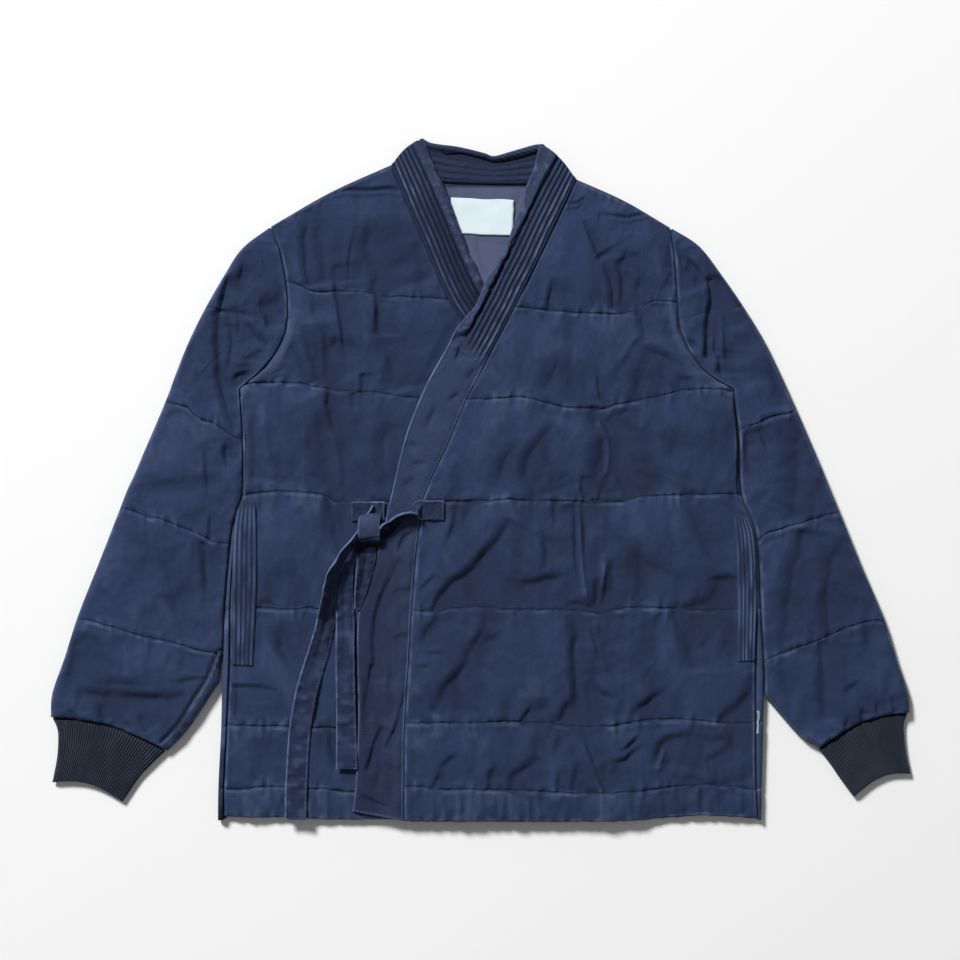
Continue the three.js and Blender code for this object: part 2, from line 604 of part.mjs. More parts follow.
const LINING_EDGES = [
  { at: 0.0, leftX: 0, leftY: 190, rightX: 14, rightY: 190 },
  { at: 0.3, leftX: -13, leftY: 222, rightX: 27, rightY: 222 },
  { at: 0.6, leftX: -27, leftY: 257, rightX: 43, rightY: 257 },
  { at: 1.0, leftX: -44, leftY: 303, rightX: 58, rightY: 303 },
];

function lining() {
  const place = acrossEdges([edge(LINING_EDGES, "leftX", "leftY"), edge(LINING_EDGES, "rightX", "rightY")]);
  return clothWall(
    "lining_back", LINING, [0, 0.25, 0.5, 0.75, 1], [0, 0.3, 0.6, 0.8, 1], place,
    () => LINING_LOW,
    () => LINING_LOW + LINING_WALL,
  );
}

const LABEL = { left: -29, right: 34, bottom: 255, top: 291, tilt: -0.03 };

function neckLabel() {
  const { left, right, bottom, top, tilt } = LABEL;
  const place = (u, v) =>
    new THREE.Vector2(mix(left, right, u), mix(bottom, top, v)).rotateAround(
      new THREE.Vector2((left + right) / 2, (bottom + top) / 2),
      tilt,
    );
  return clothWall(
    "neck_label", WHITE_TAPE, [0, 1], [0, 1], place,
    () => LABEL_LOW,
    () => LABEL_LOW + LABEL_WALL,
  );
}

// ---------------------------------------------------------------- sleeves and cuffs

// Places across a sleeve, the same as the body's rows from shoulder to underarm, so that the armholes match.
const ARMHOLE_ROWS = BODY_ROWS.filter((v) => v >= UNDERARM - 1e-9);
const ACROSS = ARMHOLE_ROWS.map((v) => (1 - v) / (1 - UNDERARM)).reverse();

// Heights of the outer faces at a share s across, for a tube of height h.
const tubeTop = (s, h) => h * mix(0.42, 1, Math.sqrt(Math.min(1, Math.min(s, 1 - s) / 0.1)));
const tubeFoot = (s, h) => h * 0.42 * (1 - Math.sqrt(Math.min(1, Math.min(s, 1 - s) / 0.045)));

function tubeRing(place, height, across) {
  const level = height * SLIT_LEVEL;
  const inset = (s) => mix(0.04, 0.96, s);
  const point = (s, z) => {
    const p = place(s);
    return [p.x, p.y, z];
  };
  const crown = (s) => {
    const p = place(s);
    const room = 4 * s * (1 - s);
    return [p.x, p.y, tubeTop(s, height) - room * foldDepth(p.x, p.y)];
  };
  const back = across.toReversed().slice(1, -1);
  const reach = (s) => (s === 0 || s === 1 ? 0 : SLIT / 2);
  return {
    outer: [
      ...across.map(crown),
      ...back.map((s) => point(s, tubeFoot(s, height))),
    ],
    inner: [
      ...across.map((s) => point(inset(s), level + reach(s))),
      ...back.map((s) => point(inset(s), level - reach(s))),
    ],
  };
}

function sleeve(name, table, armhole) {
  const outer = edge(table, "outX", "outY");
  const inner = edge(table, "inX", "inY");
  const away = Math.sign(table[0].outX) * SEAM_GAP;
  // The first ring follows the armhole, and its bow dies out down the sleeve, soonest at the underarm, where
  // the rings fan round the corner of the body. The last ring bows with the cuff.
  const sewn = straightened(armhole, ARMHOLE_ROWS);
  const bow = (s) => sewn(mix(1, UNDERARM, s)).sub(outer(0).clone().lerp(inner(0), s));
  const rings = SLEEVE_ROWS.map((t) => {
    const place = (s) => {
      const p = outer(t).clone().lerp(inner(t), s);
      p.addScaledVector(bow(s), (1 - smooth(t / 0.42)) ** (2 + 5 * s));
      p.y += CUFF_BOW * Math.sin(Math.PI * s) * smooth((t - 0.8) / 0.2);
      p.x += away * (1 - smooth(t / 0.1));
      p.y += SEAM_GAP * (1 - smooth(t / 0.1));
      return p;
    };
    const height = mix(SLEEVE_SEAM, SLEEVE_PUFF, fullness(SLEEVE_LINES, t));
    return tubeRing(place, height, ACROSS);
  });
  return tube(name, CLOTH, rings);
}

function cuff(name, table) {
  const outer = edge(table, "outX", "outY");
  const inner = edge(table, "inX", "inY");
  const across = [0, 0.04, 0.14, 0.32, 0.5, 0.68, 0.86, 0.96, 1];
  const rings = [0, 0.2, 0.4, 0.6, 0.8, 1].map((t) => {
    const place = (s) => {
      const p = outer(t).clone().lerp(inner(t), s);
      p.y += CUFF_BOW * Math.sin(Math.PI * s) - 2 * SEAM_GAP * (1 - t);
      return p;
    };
    return tubeRing(place, CUFF_HEIGHT, across);
  });
  return tube(name, RIB_KNIT, rings);
}

// ---------------------------------------------------------------- pocket welts, ties and the side tab

// A ridged strip on the front along the side seam, over the pocket mouth.
function welt(name, front, rows) {
  const under = topOf([front], 12);
  const place = acrossEdges([edge(rows, "leftX", "leftY"), edge(rows, "rightX", "rightY")]);
  const us = steps(2 * WELT_RIDGES);
  const vs = steps(7);
  const levels = vs.map((v) => Math.max(...us.map((u) => under(place(u, v).x, place(u, v).y))) + LAYER_GAP);
  const low = (x, y, u, v) => levels[vs.indexOf(v)];
  const ridges = (u) => 0.4 + 0.6 * Math.abs(Math.sin(WELT_RIDGES * Math.PI * u));
  const high = (x, y, u, v) => low(x, y, u, v) + WELT_WALL * ridges(u);
  return clothWall(name, BAND_CLOTH, us, vs, place, low, high);
}

const RIGHT_WELT = [
  { at: 0.0, leftX: -259, leftY: -191, rightX: -234, rightY: -193 },
  { at: 0.5, leftX: -258, leftY: -106, rightX: -230, rightY: -106 },
  { at: 1.0, leftX: -244, leftY: -22, rightX: -232, rightY: -22 },
];
const LEFT_WELT = [
  { at: 0.0, leftX: 264, leftY: -190, rightX: 285, rightY: -188 },
  { at: 0.5, leftX: 262, leftY: -108, rightX: 285, rightY: -108 },
  { at: 1.0, leftX: 260, leftY: -30, rightX: 274, rightY: -30 },
];

// A strap that lies along a run of places, turned on edge by roll degrees.
function strap(name, below, rows) {
  const [path, width, roll] = [edge(rows), through(rows, "width"), through(rows, "roll")];
  const under = topOf(below, 7);
  const stretches = 3 * (rows.length - 1);
  const sections = steps(stretches).map((at) => {
    const p = path(at);
    const ahead = path(Math.min(1, at + 0.01)).sub(path(Math.max(0, at - 0.01))).normalize();
    const tilt = THREE.MathUtils.degToRad(roll(at));
    const side = new THREE.Vector3(-ahead.y * Math.cos(tilt), ahead.x * Math.cos(tilt), Math.sin(tilt));
    const up = new THREE.Vector3(ahead.y * Math.sin(tilt), -ahead.x * Math.sin(tilt), Math.cos(tilt));
    const half = width(at) / 2;
    const flat = half * Math.cos(tilt);
    const offsets = [-flat, -flat / 2, 0, flat / 2, flat];
    const feet = offsets.map((d) => under(p.x - ahead.y * d, p.y + ahead.x * d));
    const z = Math.max(...feet) + LAYER_GAP + STRAP_WALL / 2 + half * Math.abs(Math.sin(tilt));
    return { centre: new THREE.Vector3(p.x, p.y, z), side, up, half };
  });
  const position = sections.flatMap(({ centre, side, up, half }) =>
    [[-1, -1], [1, -1], [1, 1], [-1, 1]].flatMap(([a, b]) =>
      centre.clone().addScaledVector(side, a * half).addScaledVector(up, (b * STRAP_WALL) / 2).toArray(),
    ),
  );
  const index = [];
  const quad = (a, b, c, d) => index.push(a, b, c, a, c, d);
  for (let k = 0; k < stretches; k += 1)
    for (let i = 0; i < 4; i += 1) {
      const [a, b] = [4 * k + i, 4 * k + ((i + 1) % 4)];
      quad(a, b, b + 4, a + 4);
    }
  quad(3, 2, 1, 0);
  const end = 4 * stretches;
  quad(end, end + 1, end + 2, end + 3);
  const mesh = solidMesh(name, BAND_CLOTH, position, index);
  return signedVolume(mesh.geometry) < 0 ? solidMesh(name, BAND_CLOTH, position, index.toReversed()) : mesh;
}

// The over tie is sewn to the over front beside its band, and runs on edge to the knot.
const OVER_TIE = [
  { at: 0.0, x: -38, y: -32, width: 20, roll: 0 },
  { at: 0.35, x: -60, y: -32, width: 20, roll: 4 },
  { at: 0.55, x: -72, y: -34, width: 15, roll: 22 },
  { at: 0.8, x: -86, y: -41, width: 14, roll: 38 },
  { at: 1.0, x: -96, y: -47, width: 15, roll: 34 },
];
// The under tie is sewn to the under front, and ends below the knot.
const UNDER_TIE = [
  { at: 0.0, x: -131, y: -33, width: 20, roll: 0 },
  { at: 1.0, x: -106, y: -35, width: 20, roll: 0 },
];
const LONG_TAIL = [
  { at: 0.0, x: -132, y: -66, width: 12, roll: -20 },
  { at: 0.12, x: -145, y: -85, width: 13, roll: -32 },
  { at: 0.28, x: -154, y: -112, width: 14, roll: -36 },
  { at: 0.45, x: -166, y: -158, width: 19, roll: -24 },
  { at: 0.65, x: -180, y: -215, width: STRAP_WIDTH, roll: -8 },
  { at: 0.8, x: -187, y: -262, width: STRAP_WIDTH, roll: 0 },
  { at: 1.0, x: -190, y: -351, width: STRAP_WIDTH, roll: 0 },
];
const SHORT_TAIL = [
  { at: 0.0, x: -126, y: -76, width: 16, roll: 0 },
  { at: 0.2, x: -137, y: -112, width: 18, roll: 0 },
  { at: 0.5, x: -139.5, y: -180, width: 20, roll: 0 },
  { at: 1.0, x: -139, y: -300, width: 21, roll: 0 },
];
const KNOT = { left: -127, right: -103, bottom: -65, top: -31, height: 12 };

function knot(below) {
  const { left, right, bottom, top, height } = KNOT;
  const under = topOf(below, 2);
  const us = [0, 0.1, 0.3, 0.5, 0.7, 0.9, 1];
  const vs = [0, 0.1, 0.3, 0.5, 0.7, 0.9, 1];
  const place = (u, v) => new THREE.Vector2(mix(left, right, u) - 3 * (0.5 - v), mix(bottom, top, v));
  const feet = us.flatMap((u) => vs.map((v) => under(place(u, v).x, place(u, v).y)));
  const level = Math.max(...feet) + LAYER_GAP;
  return clothWall("tie_knot", BAND_CLOTH, us, vs, place, () => level, (x, y, u, v) =>
    level + height * mix(0.6, 1, Math.sin(Math.PI * v) ** 0.5) * roundedAt(u, 0.1));
}

// A small folded tab in the wearer's left side seam.
const TAB = { left: 288.4, right: 291, bottom: -264, top: -240, thick: 0.8 };

function sideTab(backPiece) {
  const under = topOf([backPiece], 2);
  const place = (u, v) => new THREE.Vector2(mix(TAB.left, TAB.right, u), mix(TAB.bottom, TAB.top, v));
  const level = under((TAB.left + TAB.right) / 2, (TAB.bottom + TAB.top) / 2) + LAYER_GAP;
  return clothWall("side_tab", WHITE_TAPE, [0, 1], [0, 1], place, () => level, () => level + TAB.thick);
}

// ---------------------------------------------------------------- the jacket

const jacket = new THREE.Group();
jacket.name = "quilted_kimono_jacket";

const backPiece = back();
const frontLeft = overFront();
const frontRight = underFront();
const bandLeft = overBand();
const bandRight = underBand();
const collarPiece = collar();
const underTie = strap("tie_right", [frontRight], UNDER_TIE);
const overTie = strap("tie_left", [frontLeft, bandLeft], OVER_TIE);
const shortTail = strap("tie_short_tail", [frontRight, bandLeft], SHORT_TAIL);
const longTail = strap("tie_long_tail", [frontRight, shortTail], LONG_TAIL);
const knotPiece = knot([underTie, bandLeft, frontRight]);

jacket.add(
  backPiece,
  frontLeft,
  frontRight,
  bandLeft,
  bandRight,
  collarPiece,
  lining(),
  neckLabel(),
  sleeve("sleeve_left", LEFT_SLEEVE, overSide),
  sleeve("sleeve_right", RIGHT_SLEEVE, underSide),
  cuff("cuff_left", LEFT_CUFF),
  cuff("cuff_right", RIGHT_CUFF),
  welt("pocket_welt_left", frontLeft, LEFT_WELT),
  welt("pocket_welt_right", frontRight, RIGHT_WELT),
  underTie,
  overTie,
  longTail,
  shortTail,
  knotPiece,
  sideTab(backPiece),
);

export default jacket;
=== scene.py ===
"""A quilted kimono jacket in washed navy cotton, laid flat on its back and tied at the waist.

Tables and lengths are in millimetres, as a pattern cutter measures them, and MM turns them into metres where a
mesh is made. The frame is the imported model's: +X towards the wearer's left, +Y from the hem to the neck, +Z up.
"""

import bpy
import numpy as np
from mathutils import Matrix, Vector
from mathutils.bvhtree import BVHTree


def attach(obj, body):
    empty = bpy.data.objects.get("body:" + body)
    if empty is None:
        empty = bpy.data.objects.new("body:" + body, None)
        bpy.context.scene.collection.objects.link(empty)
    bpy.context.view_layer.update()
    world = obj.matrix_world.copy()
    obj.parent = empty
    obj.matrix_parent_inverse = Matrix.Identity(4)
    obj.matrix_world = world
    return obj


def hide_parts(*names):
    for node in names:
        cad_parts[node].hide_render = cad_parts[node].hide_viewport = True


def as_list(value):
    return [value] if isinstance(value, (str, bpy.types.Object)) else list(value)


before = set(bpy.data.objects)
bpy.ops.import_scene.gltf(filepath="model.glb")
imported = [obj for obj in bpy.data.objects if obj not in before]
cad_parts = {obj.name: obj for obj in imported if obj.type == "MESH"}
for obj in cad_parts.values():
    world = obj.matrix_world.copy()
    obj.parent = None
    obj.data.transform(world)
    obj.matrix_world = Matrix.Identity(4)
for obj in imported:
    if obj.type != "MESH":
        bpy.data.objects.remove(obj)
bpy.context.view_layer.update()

# ---------------------------------------------------------------- back
# One padded panel in washed cotton over thin wadding, stitched in level channels. It lies on the table and turns up
# round both sides as far as the side seams. Its inner face shows only at the neck, where the lining covers it.

MM = 0.001
BACK_WALL = 5.0
RIM_TOP = 10.4
UNDERARM = 0.63
BODY_LENGTH = 670.0  # from the hem to the shoulder, along which "at" runs from 0 to 1
BODY_WIDTH = 560.0
BODY_LINES = np.array([0, 0.05, 0.15, 0.31, 0.48, 0.63, 0.8, 1])


def numbers(text):
    """The numbers in each row of a written table. A row that starts with # is a heading."""
    return [np.array(row.split(), float) for row in text.strip().splitlines() if row[0] != "#"]


def table(columns, text):
    """Named columns of numbers from a written table."""
    return dict(zip(columns.split(), np.array(numbers(text)).T))


def along(places, values, at, corners=()):
    """A smooth curve through values at rising places, with a kink at each corner."""
    places, values, at = (np.asarray(x, float) for x in (places, values, at))
    column = (-1,) + (1,) * (values.ndim - 1)
    rise = np.diff(values, axis=0) / np.diff(places).reshape(column)
    middle = (values[2:] - values[:-2]) / (places[2:] - places[:-2]).reshape(column)
    leaving = np.concatenate([rise[:1], middle, rise[-1:]])
    arriving = leaving.copy()
    for corner in corners:
        k = int(np.argmin(abs(places - corner)))
        if 0 < k < len(places) - 1:
            leaving[k], arriving[k] = rise[k], rise[k - 1]
    i = np.clip(np.searchsorted(places, at, side="right") - 1, 0, len(places) - 2)
    width = (places[i + 1] - places[i]).reshape(column)
    t = (at - places[i]).reshape(column) / width
    start = (2 * t**3 - 3 * t**2 + 1) * values[i] + (t**3 - 2 * t**2 + t) * width * leaving[i]
    return start + (3 * t**2 - 2 * t**3) * values[i + 1] + (t**3 - t**2) * width * arriving[i + 1]


def edge(rows, side, at, corners=()):
    """The places (x, y) of one edge in a table whose columns are named for its side."""
    x, y = (along(rows["at"], rows[side + axis], at, corners) for axis in ("x", "y"))
    return np.stack([x, y], -1)


def mix(a, b, t):
    return a + (b - a) * t


def smooth(t):
    t = np.clip(t, 0, 1)
    return t * t * (3 - 2 * t)


def bell(t):
    return np.exp(-2.2 * t * t)


def noise(x, y, size_x, size_y, seed):
    """Smooth noise from -1 to 1, with lumps of the given size."""
    x, y = np.broadcast_arrays(x / size_x, y / size_y)
    lattice = np.random.default_rng(seed).uniform(-1, 1, (256, 256))
    i, j = np.floor(x).astype(int), np.floor(y).astype(int)
    u, v = smooth(x - i), smooth(y - j)
    corner = [[lattice[(i + a) % 256, (j + b) % 256] for b in (0, 1)] for a in (0, 1)]
    return mix(mix(corner[0][0], corner[1][0], u), mix(corner[0][1], corner[1][1], u), v)


def rounded(distance, radius):
    """0 at an edge, rising like a quarter circle to 1 at the radius."""
    t = np.clip(distance / radius, 0, 1)
    return np.sqrt(1 - (1 - t) ** 2)


def stops(length, step, lines=(), near=(0.7, 1.5, 2.6, 4.2), ends=(0.6, 1.4, 2.6, 4.2)):
    """Shares from 0 to 1 of a length, a step apart, closer beside the stitched lines and the ends."""
    even = np.linspace(0, 1, int(round(length / step)) + 1)
    closer = [line + sign * d / length for line in lines for d in (0, *near) for sign in (-1, 1)]
    closer += [share for d in ends for share in (d / length, 1 - d / length)]
    closer = np.array([c for c in closer if 0 <= c <= 1])
    kept = [e for e in even if e in (0, 1) or not len(closer) or abs(closer - e).min() > 0.45 * step / length]
    both = np.sort(np.concatenate([kept, closer]))
    return both[np.concatenate([[True], np.diff(both) > 0.2 / length])]


def above_line(at, lines, length):
    """How far each place is above the nearest stitched line, and below it when negative."""
    gaps = (np.asarray(at)[:, None] - np.asarray(lines)) * length
    return gaps[np.arange(len(gaps)), abs(gaps).argmin(1)]


def cloth_object(name, points, cut, wear=0.0, groove=0.0, ring=False, flip=None):
    """A mesh over a grid of points. cut holds each place on the flat cloth, which the weave follows. The materials
    read
    two shares: the first pales the cloth, for rubbing and painted highlights, and the second darkens it, for dark
    stitched lines and painted shade. flip is the way to reverse when the grid faces down."""
    rows, columns = points.shape[:2]
    masks = {"wear": np.broadcast_to(wear, (rows, columns)), "groove": np.broadcast_to(groove, (rows, columns))}
    if flip is not None:
        points, cut = np.flip(points, flip), np.flip(cut, flip)
        masks = {mask: np.flip(values, flip) for mask, values in masks.items()}
    index = np.arange(rows * columns).reshape(rows, columns)
    if ring:
        index = np.concatenate([index, index[:, :1]], 1)
    quads = np.stack([index[:-1, :-1], index[:-1, 1:], index[1:, 1:], index[1:, :-1]], -1).reshape(-1, 4)
    mesh = bpy.data.meshes.new(name)
    mesh.vertices.add(rows * columns)
    mesh.vertices.foreach_set("co", (points * MM).astype(np.float32).ravel())
    mesh.loops.add(quads.size)
    mesh.loops.foreach_set("vertex_index", quads.ravel().astype(np.int32))
    mesh.polygons.add(len(quads))
    mesh.polygons.foreach_set("loop_start", np.arange(0, quads.size, 4, dtype=np.int32))
    mesh.update(calc_edges=True)
    mesh.shade_smooth()
    flat = (cut * MM).reshape(-1, 2)
    mesh.uv_layers.new(name="cut").data.foreach_set("uv", flat[quads.ravel()].astype(np.float32).ravel())
    for mask, values in masks.items():
        mesh.attributes.new(mask, "FLOAT", "POINT").data.foreach_set("value", values.astype(np.float32).ravel())
    piece = bpy.data.objects.new(name, mesh)
    bpy.context.collection.objects.link(piece)
    return piece


def joined(name, pieces):
    """Several meshes as one object."""
    with bpy.context.temp_override(active_object=pieces[0], selected_editable_objects=pieces):
        bpy.ops.object.join()
    pieces[0].name = name
    return pieces[0]


def dressed(piece, material, slot, *nodes):
    """Gives a piece its finish and its CAD nodes' place."""
    piece.data.materials.clear()
    piece.data.materials.append(material)
    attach(piece, "root")
    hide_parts(*nodes)
    return piece


def shade(hexes):
    """A colour from its sRGB bytes, as the linear numbers that a shader takes."""
    c = np.array([int(hexes[i : i + 2], 16) for i in (0, 2, 4)]) / 255
    return tuple(np.where(c <= 0.04045, c / 12.92, ((c + 0.055) / 1.055) ** 2.4)) + (1.0,)


class Nodes:
    """A short way to wire a node tree: node(type, inputs by name, settings by name)."""

    def __init__(self, tree):
        self.tree = tree

    def feed(self, socket, value):
        if isinstance(value, bpy.types.NodeSocket):
            self.tree.links.new(value, socket)
        else:
            socket.default_value = value

    def __call__(self, kind, inputs=None, **settings):
        node = self.tree.nodes.new(kind)
        for key, value in settings.items():
            setattr(node, key, value)
        for key, value in (inputs or {}).items():
            self.feed(node.inputs[key], value)
        return node

    def maths(self, operation, a, b=0.0, c=0.5, clamp=False):
        return self("ShaderNodeMath", {0: a, 1: b, 2: c}, operation=operation, use_clamp=clamp).outputs[0]

    def mixed(self, share, a, b):
        return self("ShaderNodeMix", {"Factor": share, 6: a, 7: b}, data_type="RGBA").outputs[2]

    def mask(self, name):
        return self("ShaderNodeAttribute", attribute_name=name).outputs["Fac"]

    def noise(self, vector, scale, detail, roughness=0.5):
        inputs = {"Vector": vector, "Scale": scale, "Detail": detail, "Roughness": roughness}
        return self("ShaderNodeTexNoise", inputs).outputs["Fac"]

    def cut(self):
        return self("ShaderNodeUVMap", uv_map="cut").outputs[0]

    def surface(self, inputs, height=None, strength=0.0, distance=0.0):
        """The surface itself, with a fine relief, wired to the material's output."""
        if height is not None:
            raised = self("ShaderNodeBump", {"Height": height, "Strength": strength, "Distance": distance})
            inputs = {**inputs, "Normal": raised.outputs[0]}
        shader = self("ShaderNodeBsdfPrincipled", inputs)
        self.tree.links.new(shader.outputs[0], self("ShaderNodeOutputMaterial").inputs["Surface"])


def new_finish(name):
    """A new material with an empty tree, and the short way to wire it."""
    material = bpy.data.materials.new(name)
    material.use_nodes = True
    material.node_tree.nodes.clear()
    return material, Nodes(material.node_tree)


def node_group(name, inputs, outputs):
    """An empty shader group with named sockets, and its input and output nodes."""
    group = bpy.data.node_groups.new(name, "ShaderNodeTree")
    kinds = {"float": "NodeSocketFloat", "colour": "NodeSocketColor", "vector": "NodeSocketVector"}
    for direction, sockets in (("INPUT", inputs), ("OUTPUT", outputs)):
        for socket, kind in sockets.items():
            group.interface.new_socket(name=socket, in_out=direction, socket_type=kinds[kind])
    node = Nodes(group)
    return group, node, node("NodeGroupInput").outputs, node("NodeGroupOutput")


# Washed cotton: threads of two directions with slubs, soft pale patches where the dye has gone, a slight drift of
# hue, and worn ridges beside seams. The pale share also paints highlights, and the dark share paints shade.
weave, node, given, made = node_group(
    "washed_weave",
    {"Cut": "vector", "Dye": "colour", "Faded": "colour", "Worn": "colour", "Wear": "float", "Groove": "float"},
    {"Color": "colour", "Roughness": "float", "Height": "float"},
)
patches = node.noise(given["Cut"], 9.0, 5.0, 0.62)
clouds = node.noise(given["Cut"], 34.0, 4.0, 0.6)
slubs = []
for stretch in ((1900.0, 130.0, 1.0), (130.0, 1900.0, 1.0)):
    stretched = node("ShaderNodeMapping", {"Vector": given["Cut"], "Scale": stretch})
    slubs.append(node.noise(stretched.outputs[0], 1.0, 2.0))
threads = node.maths("MULTIPLY", node.maths("ADD", *slubs), 0.5)
patch_share = node.maths("MULTIPLY_ADD", patches, 1.0, -0.05)
cloud_share = node.maths("MULTIPLY_ADD", clouds, 0.5, -0.25)
thread_share = node.maths("MULTIPLY_ADD", threads, 2.2, -1.1)
fade = node.maths("ADD", node.maths("ADD", patch_share, cloud_share), thread_share, clamp=True)
cloth_colour = node.mixed(fade, given["Dye"], given["Faded"])
# Pale share: the rubbed threads, and painted highlights, both in the worn colour.
rubbed = node.maths("MULTIPLY", given["Wear"], node.maths("MULTIPLY_ADD", threads, 1.8), clamp=True)
cloth_colour = node.mixed(rubbed, cloth_colour, given["Worn"])
# Dark share: painted shade in creases, hollows and faces turned from the light, and the dark stitched lines.
cloth_colour = node.mixed(node.maths("MULTIPLY", given["Groove"], 0.6), cloth_colour, (0.003, 0.0045, 0.011, 1))
node.feed(made.inputs["Color"], cloth_colour)
node.feed(made.inputs["Roughness"], node.maths("MULTIPLY_ADD", threads, 0.25, 0.66))
crumple = node.noise(given["Cut"], 150.0, 3.0, 0.55)
node.feed(made.inputs["Height"], node.maths("ADD", threads, node.maths("MULTIPLY", crumple, 1.3)))


def cotton(name, dye, faded, worn, bump=0.35):
    """A washed cotton in its own colours."""
    material, node = new_finish(name)
    cloth = node("ShaderNodeGroup", {
        "Dye": shade(dye), "Faded": shade(faded), "Worn": shade(worn),
        "Cut": node.cut(), "Wear": node.mask("wear"), "Groove": node.mask("groove"),
    }, node_tree=weave)  # fmt: skip
    node.surface({
        "Base Color": cloth.outputs["Color"], "Roughness": cloth.outputs["Roughness"], "Sheen Weight": 0.06,
        "Sheen Roughness": 0.5, "Sheen Tint": (0.62, 0.68, 0.85, 1), "Specular IOR Level": 0.12,
    }, cloth.outputs["Height"], bump, 0.0004)  # fmt: skip
    return material


# The last colour is rubbed cloth's, and the pale share also paints highlights in it.
QUILTED = cotton("quilted_cloth", "232f4c", "324060", "64728f")

SIDE_FOLD = table("at left_x left_y right_x right_y", """
0 -272 -353 292 -353
.05 -271.6 -320 292.5 -320
.15 -268.6 -256 294 -251
.24 -267.2 -190 294.5 -190
.31 -265 -135 291.5 -134
.4 -260 -74 289 -74
.43 -257.2 -50 285 -50
.48 -247.5 -16 271.5 -16
.56 -246.5 42 269 42
.63 -249.5 93 263.5 91
""")
OVER_FRONT = table("at left_x left_y right_x right_y", """
0 -79 -353 288.5 -351
.05 -79 -319 286.5 -321
.15 -78 -250 285.5 -251
.24 -74 -188 286 -190
.31 -71 -134 288.3 -134
.4 -66 -74 287.3 -74
.44 -63 -48 282.5 -44
.48 -60 -21 268 -16
.56 -35 34 267 42
.63 -15 82 263 93
.69 4 118 231 115
.76 25 158 209 152
.8 36 179 205 184
.9 66 240 202 228
1 100 312 197 262
""")
UNDER_FRONT = table("at left_x left_y right_x right_y", """
0 -265.5 -350 95 -352
.05 -265.5 -319 95 -319
.15 -262.7 -256 94 -250
.24 -259.5 -188 90 -190
.31 -259.2 -135 87 -134
.4 -257 -74 82 -74
.43 -255 -50 80 -50
.48 -246.5 -16 76 -22
.56 -245.2 42 51 34
.63 -249 95 31 82
.69 -221 120 8 124
.76 -202 154 -20 167
.8 -200 188 -34 191
.9 -206 230 -66 264
1 -217 263 -92 327
""")
BACK_TOP = table("at x y", """
0 -217 263
.15 -155 298.5
.3 -92 327
.42 -46 309
.53 4 306
.65 56 306
.76 100 312
.88 150 289.5
1 197 262
""")

vs = stops(BODY_LENGTH, 6.5, BODY_LINES, near=(1.5, 3.5))
us = stops(BODY_WIDTH, 6.5, ends=(1, 2.5, 5))
below, side_vs = (vs < UNDERARM)[:, None], np.minimum(vs, UNDERARM)
left, right = (
    np.where(below, edge(SIDE_FOLD, side, side_vs), edge(seam_rows, side, vs, [UNDERARM]))
    for side, seam_rows in (("left_", UNDER_FRONT), ("right_", OVER_FRONT))
)
plan = mix(left[:, None], right[:, None], us[None, :, None])
rise = edge(BACK_TOP, "", us, [0.3, 0.76]) - mix(left[-1], right[-1], us[:, None])
plan = plan + rise[None] * smooth((vs - UNDERARM) / (1 - UNDERARM))[:, None, None]
# The back's hem lies a little above the fronts', except at its two corners.
HEM_CORNERS, HEM_RISE = (-267, 290), 6
x = plan[..., 0]
from_corner = np.minimum(x - HEM_CORNERS[0], HEM_CORNERS[1] - x)
plan[..., 1] += HEM_RISE * smooth(from_corner / 3) * np.clip(1 - vs / 0.05, 0, 1)[:, None]
y = plan[..., 1]
across = np.minimum(us, 1 - us)[None] * BODY_WIDTH
ends = np.minimum(vs, 1 - vs)[:, None] * BODY_LENGTH
lifted = 1 - rounded(np.minimum(across, ends), 7.0)
from_line = abs(above_line(vs, BODY_LINES, BODY_LENGTH))[:, None]
seam = bell(from_line / 3.0)
pucker = noise(x, y, 9, 40, 5) * bell(from_line / 22)
EDGE_LIFT = BACK_WALL - 0.4
under_z = np.maximum(0, EDGE_LIFT * lifted + 1.5 * seam * (1 + 0.4 * pucker) + 0.35 * (1 + pucker) * (ends > 6))
outside = np.dstack([x, y, np.minimum(under_z, EDGE_LIFT)])
inside = np.dstack([x, y, np.full_like(x, BACK_WALL)])
back_pieces = [
    cloth_object("back_outside", outside, plan, 0.15 * seam, bell(from_line / 1.2), flip=1),
    cloth_object("back_inside", inside, plan),
]
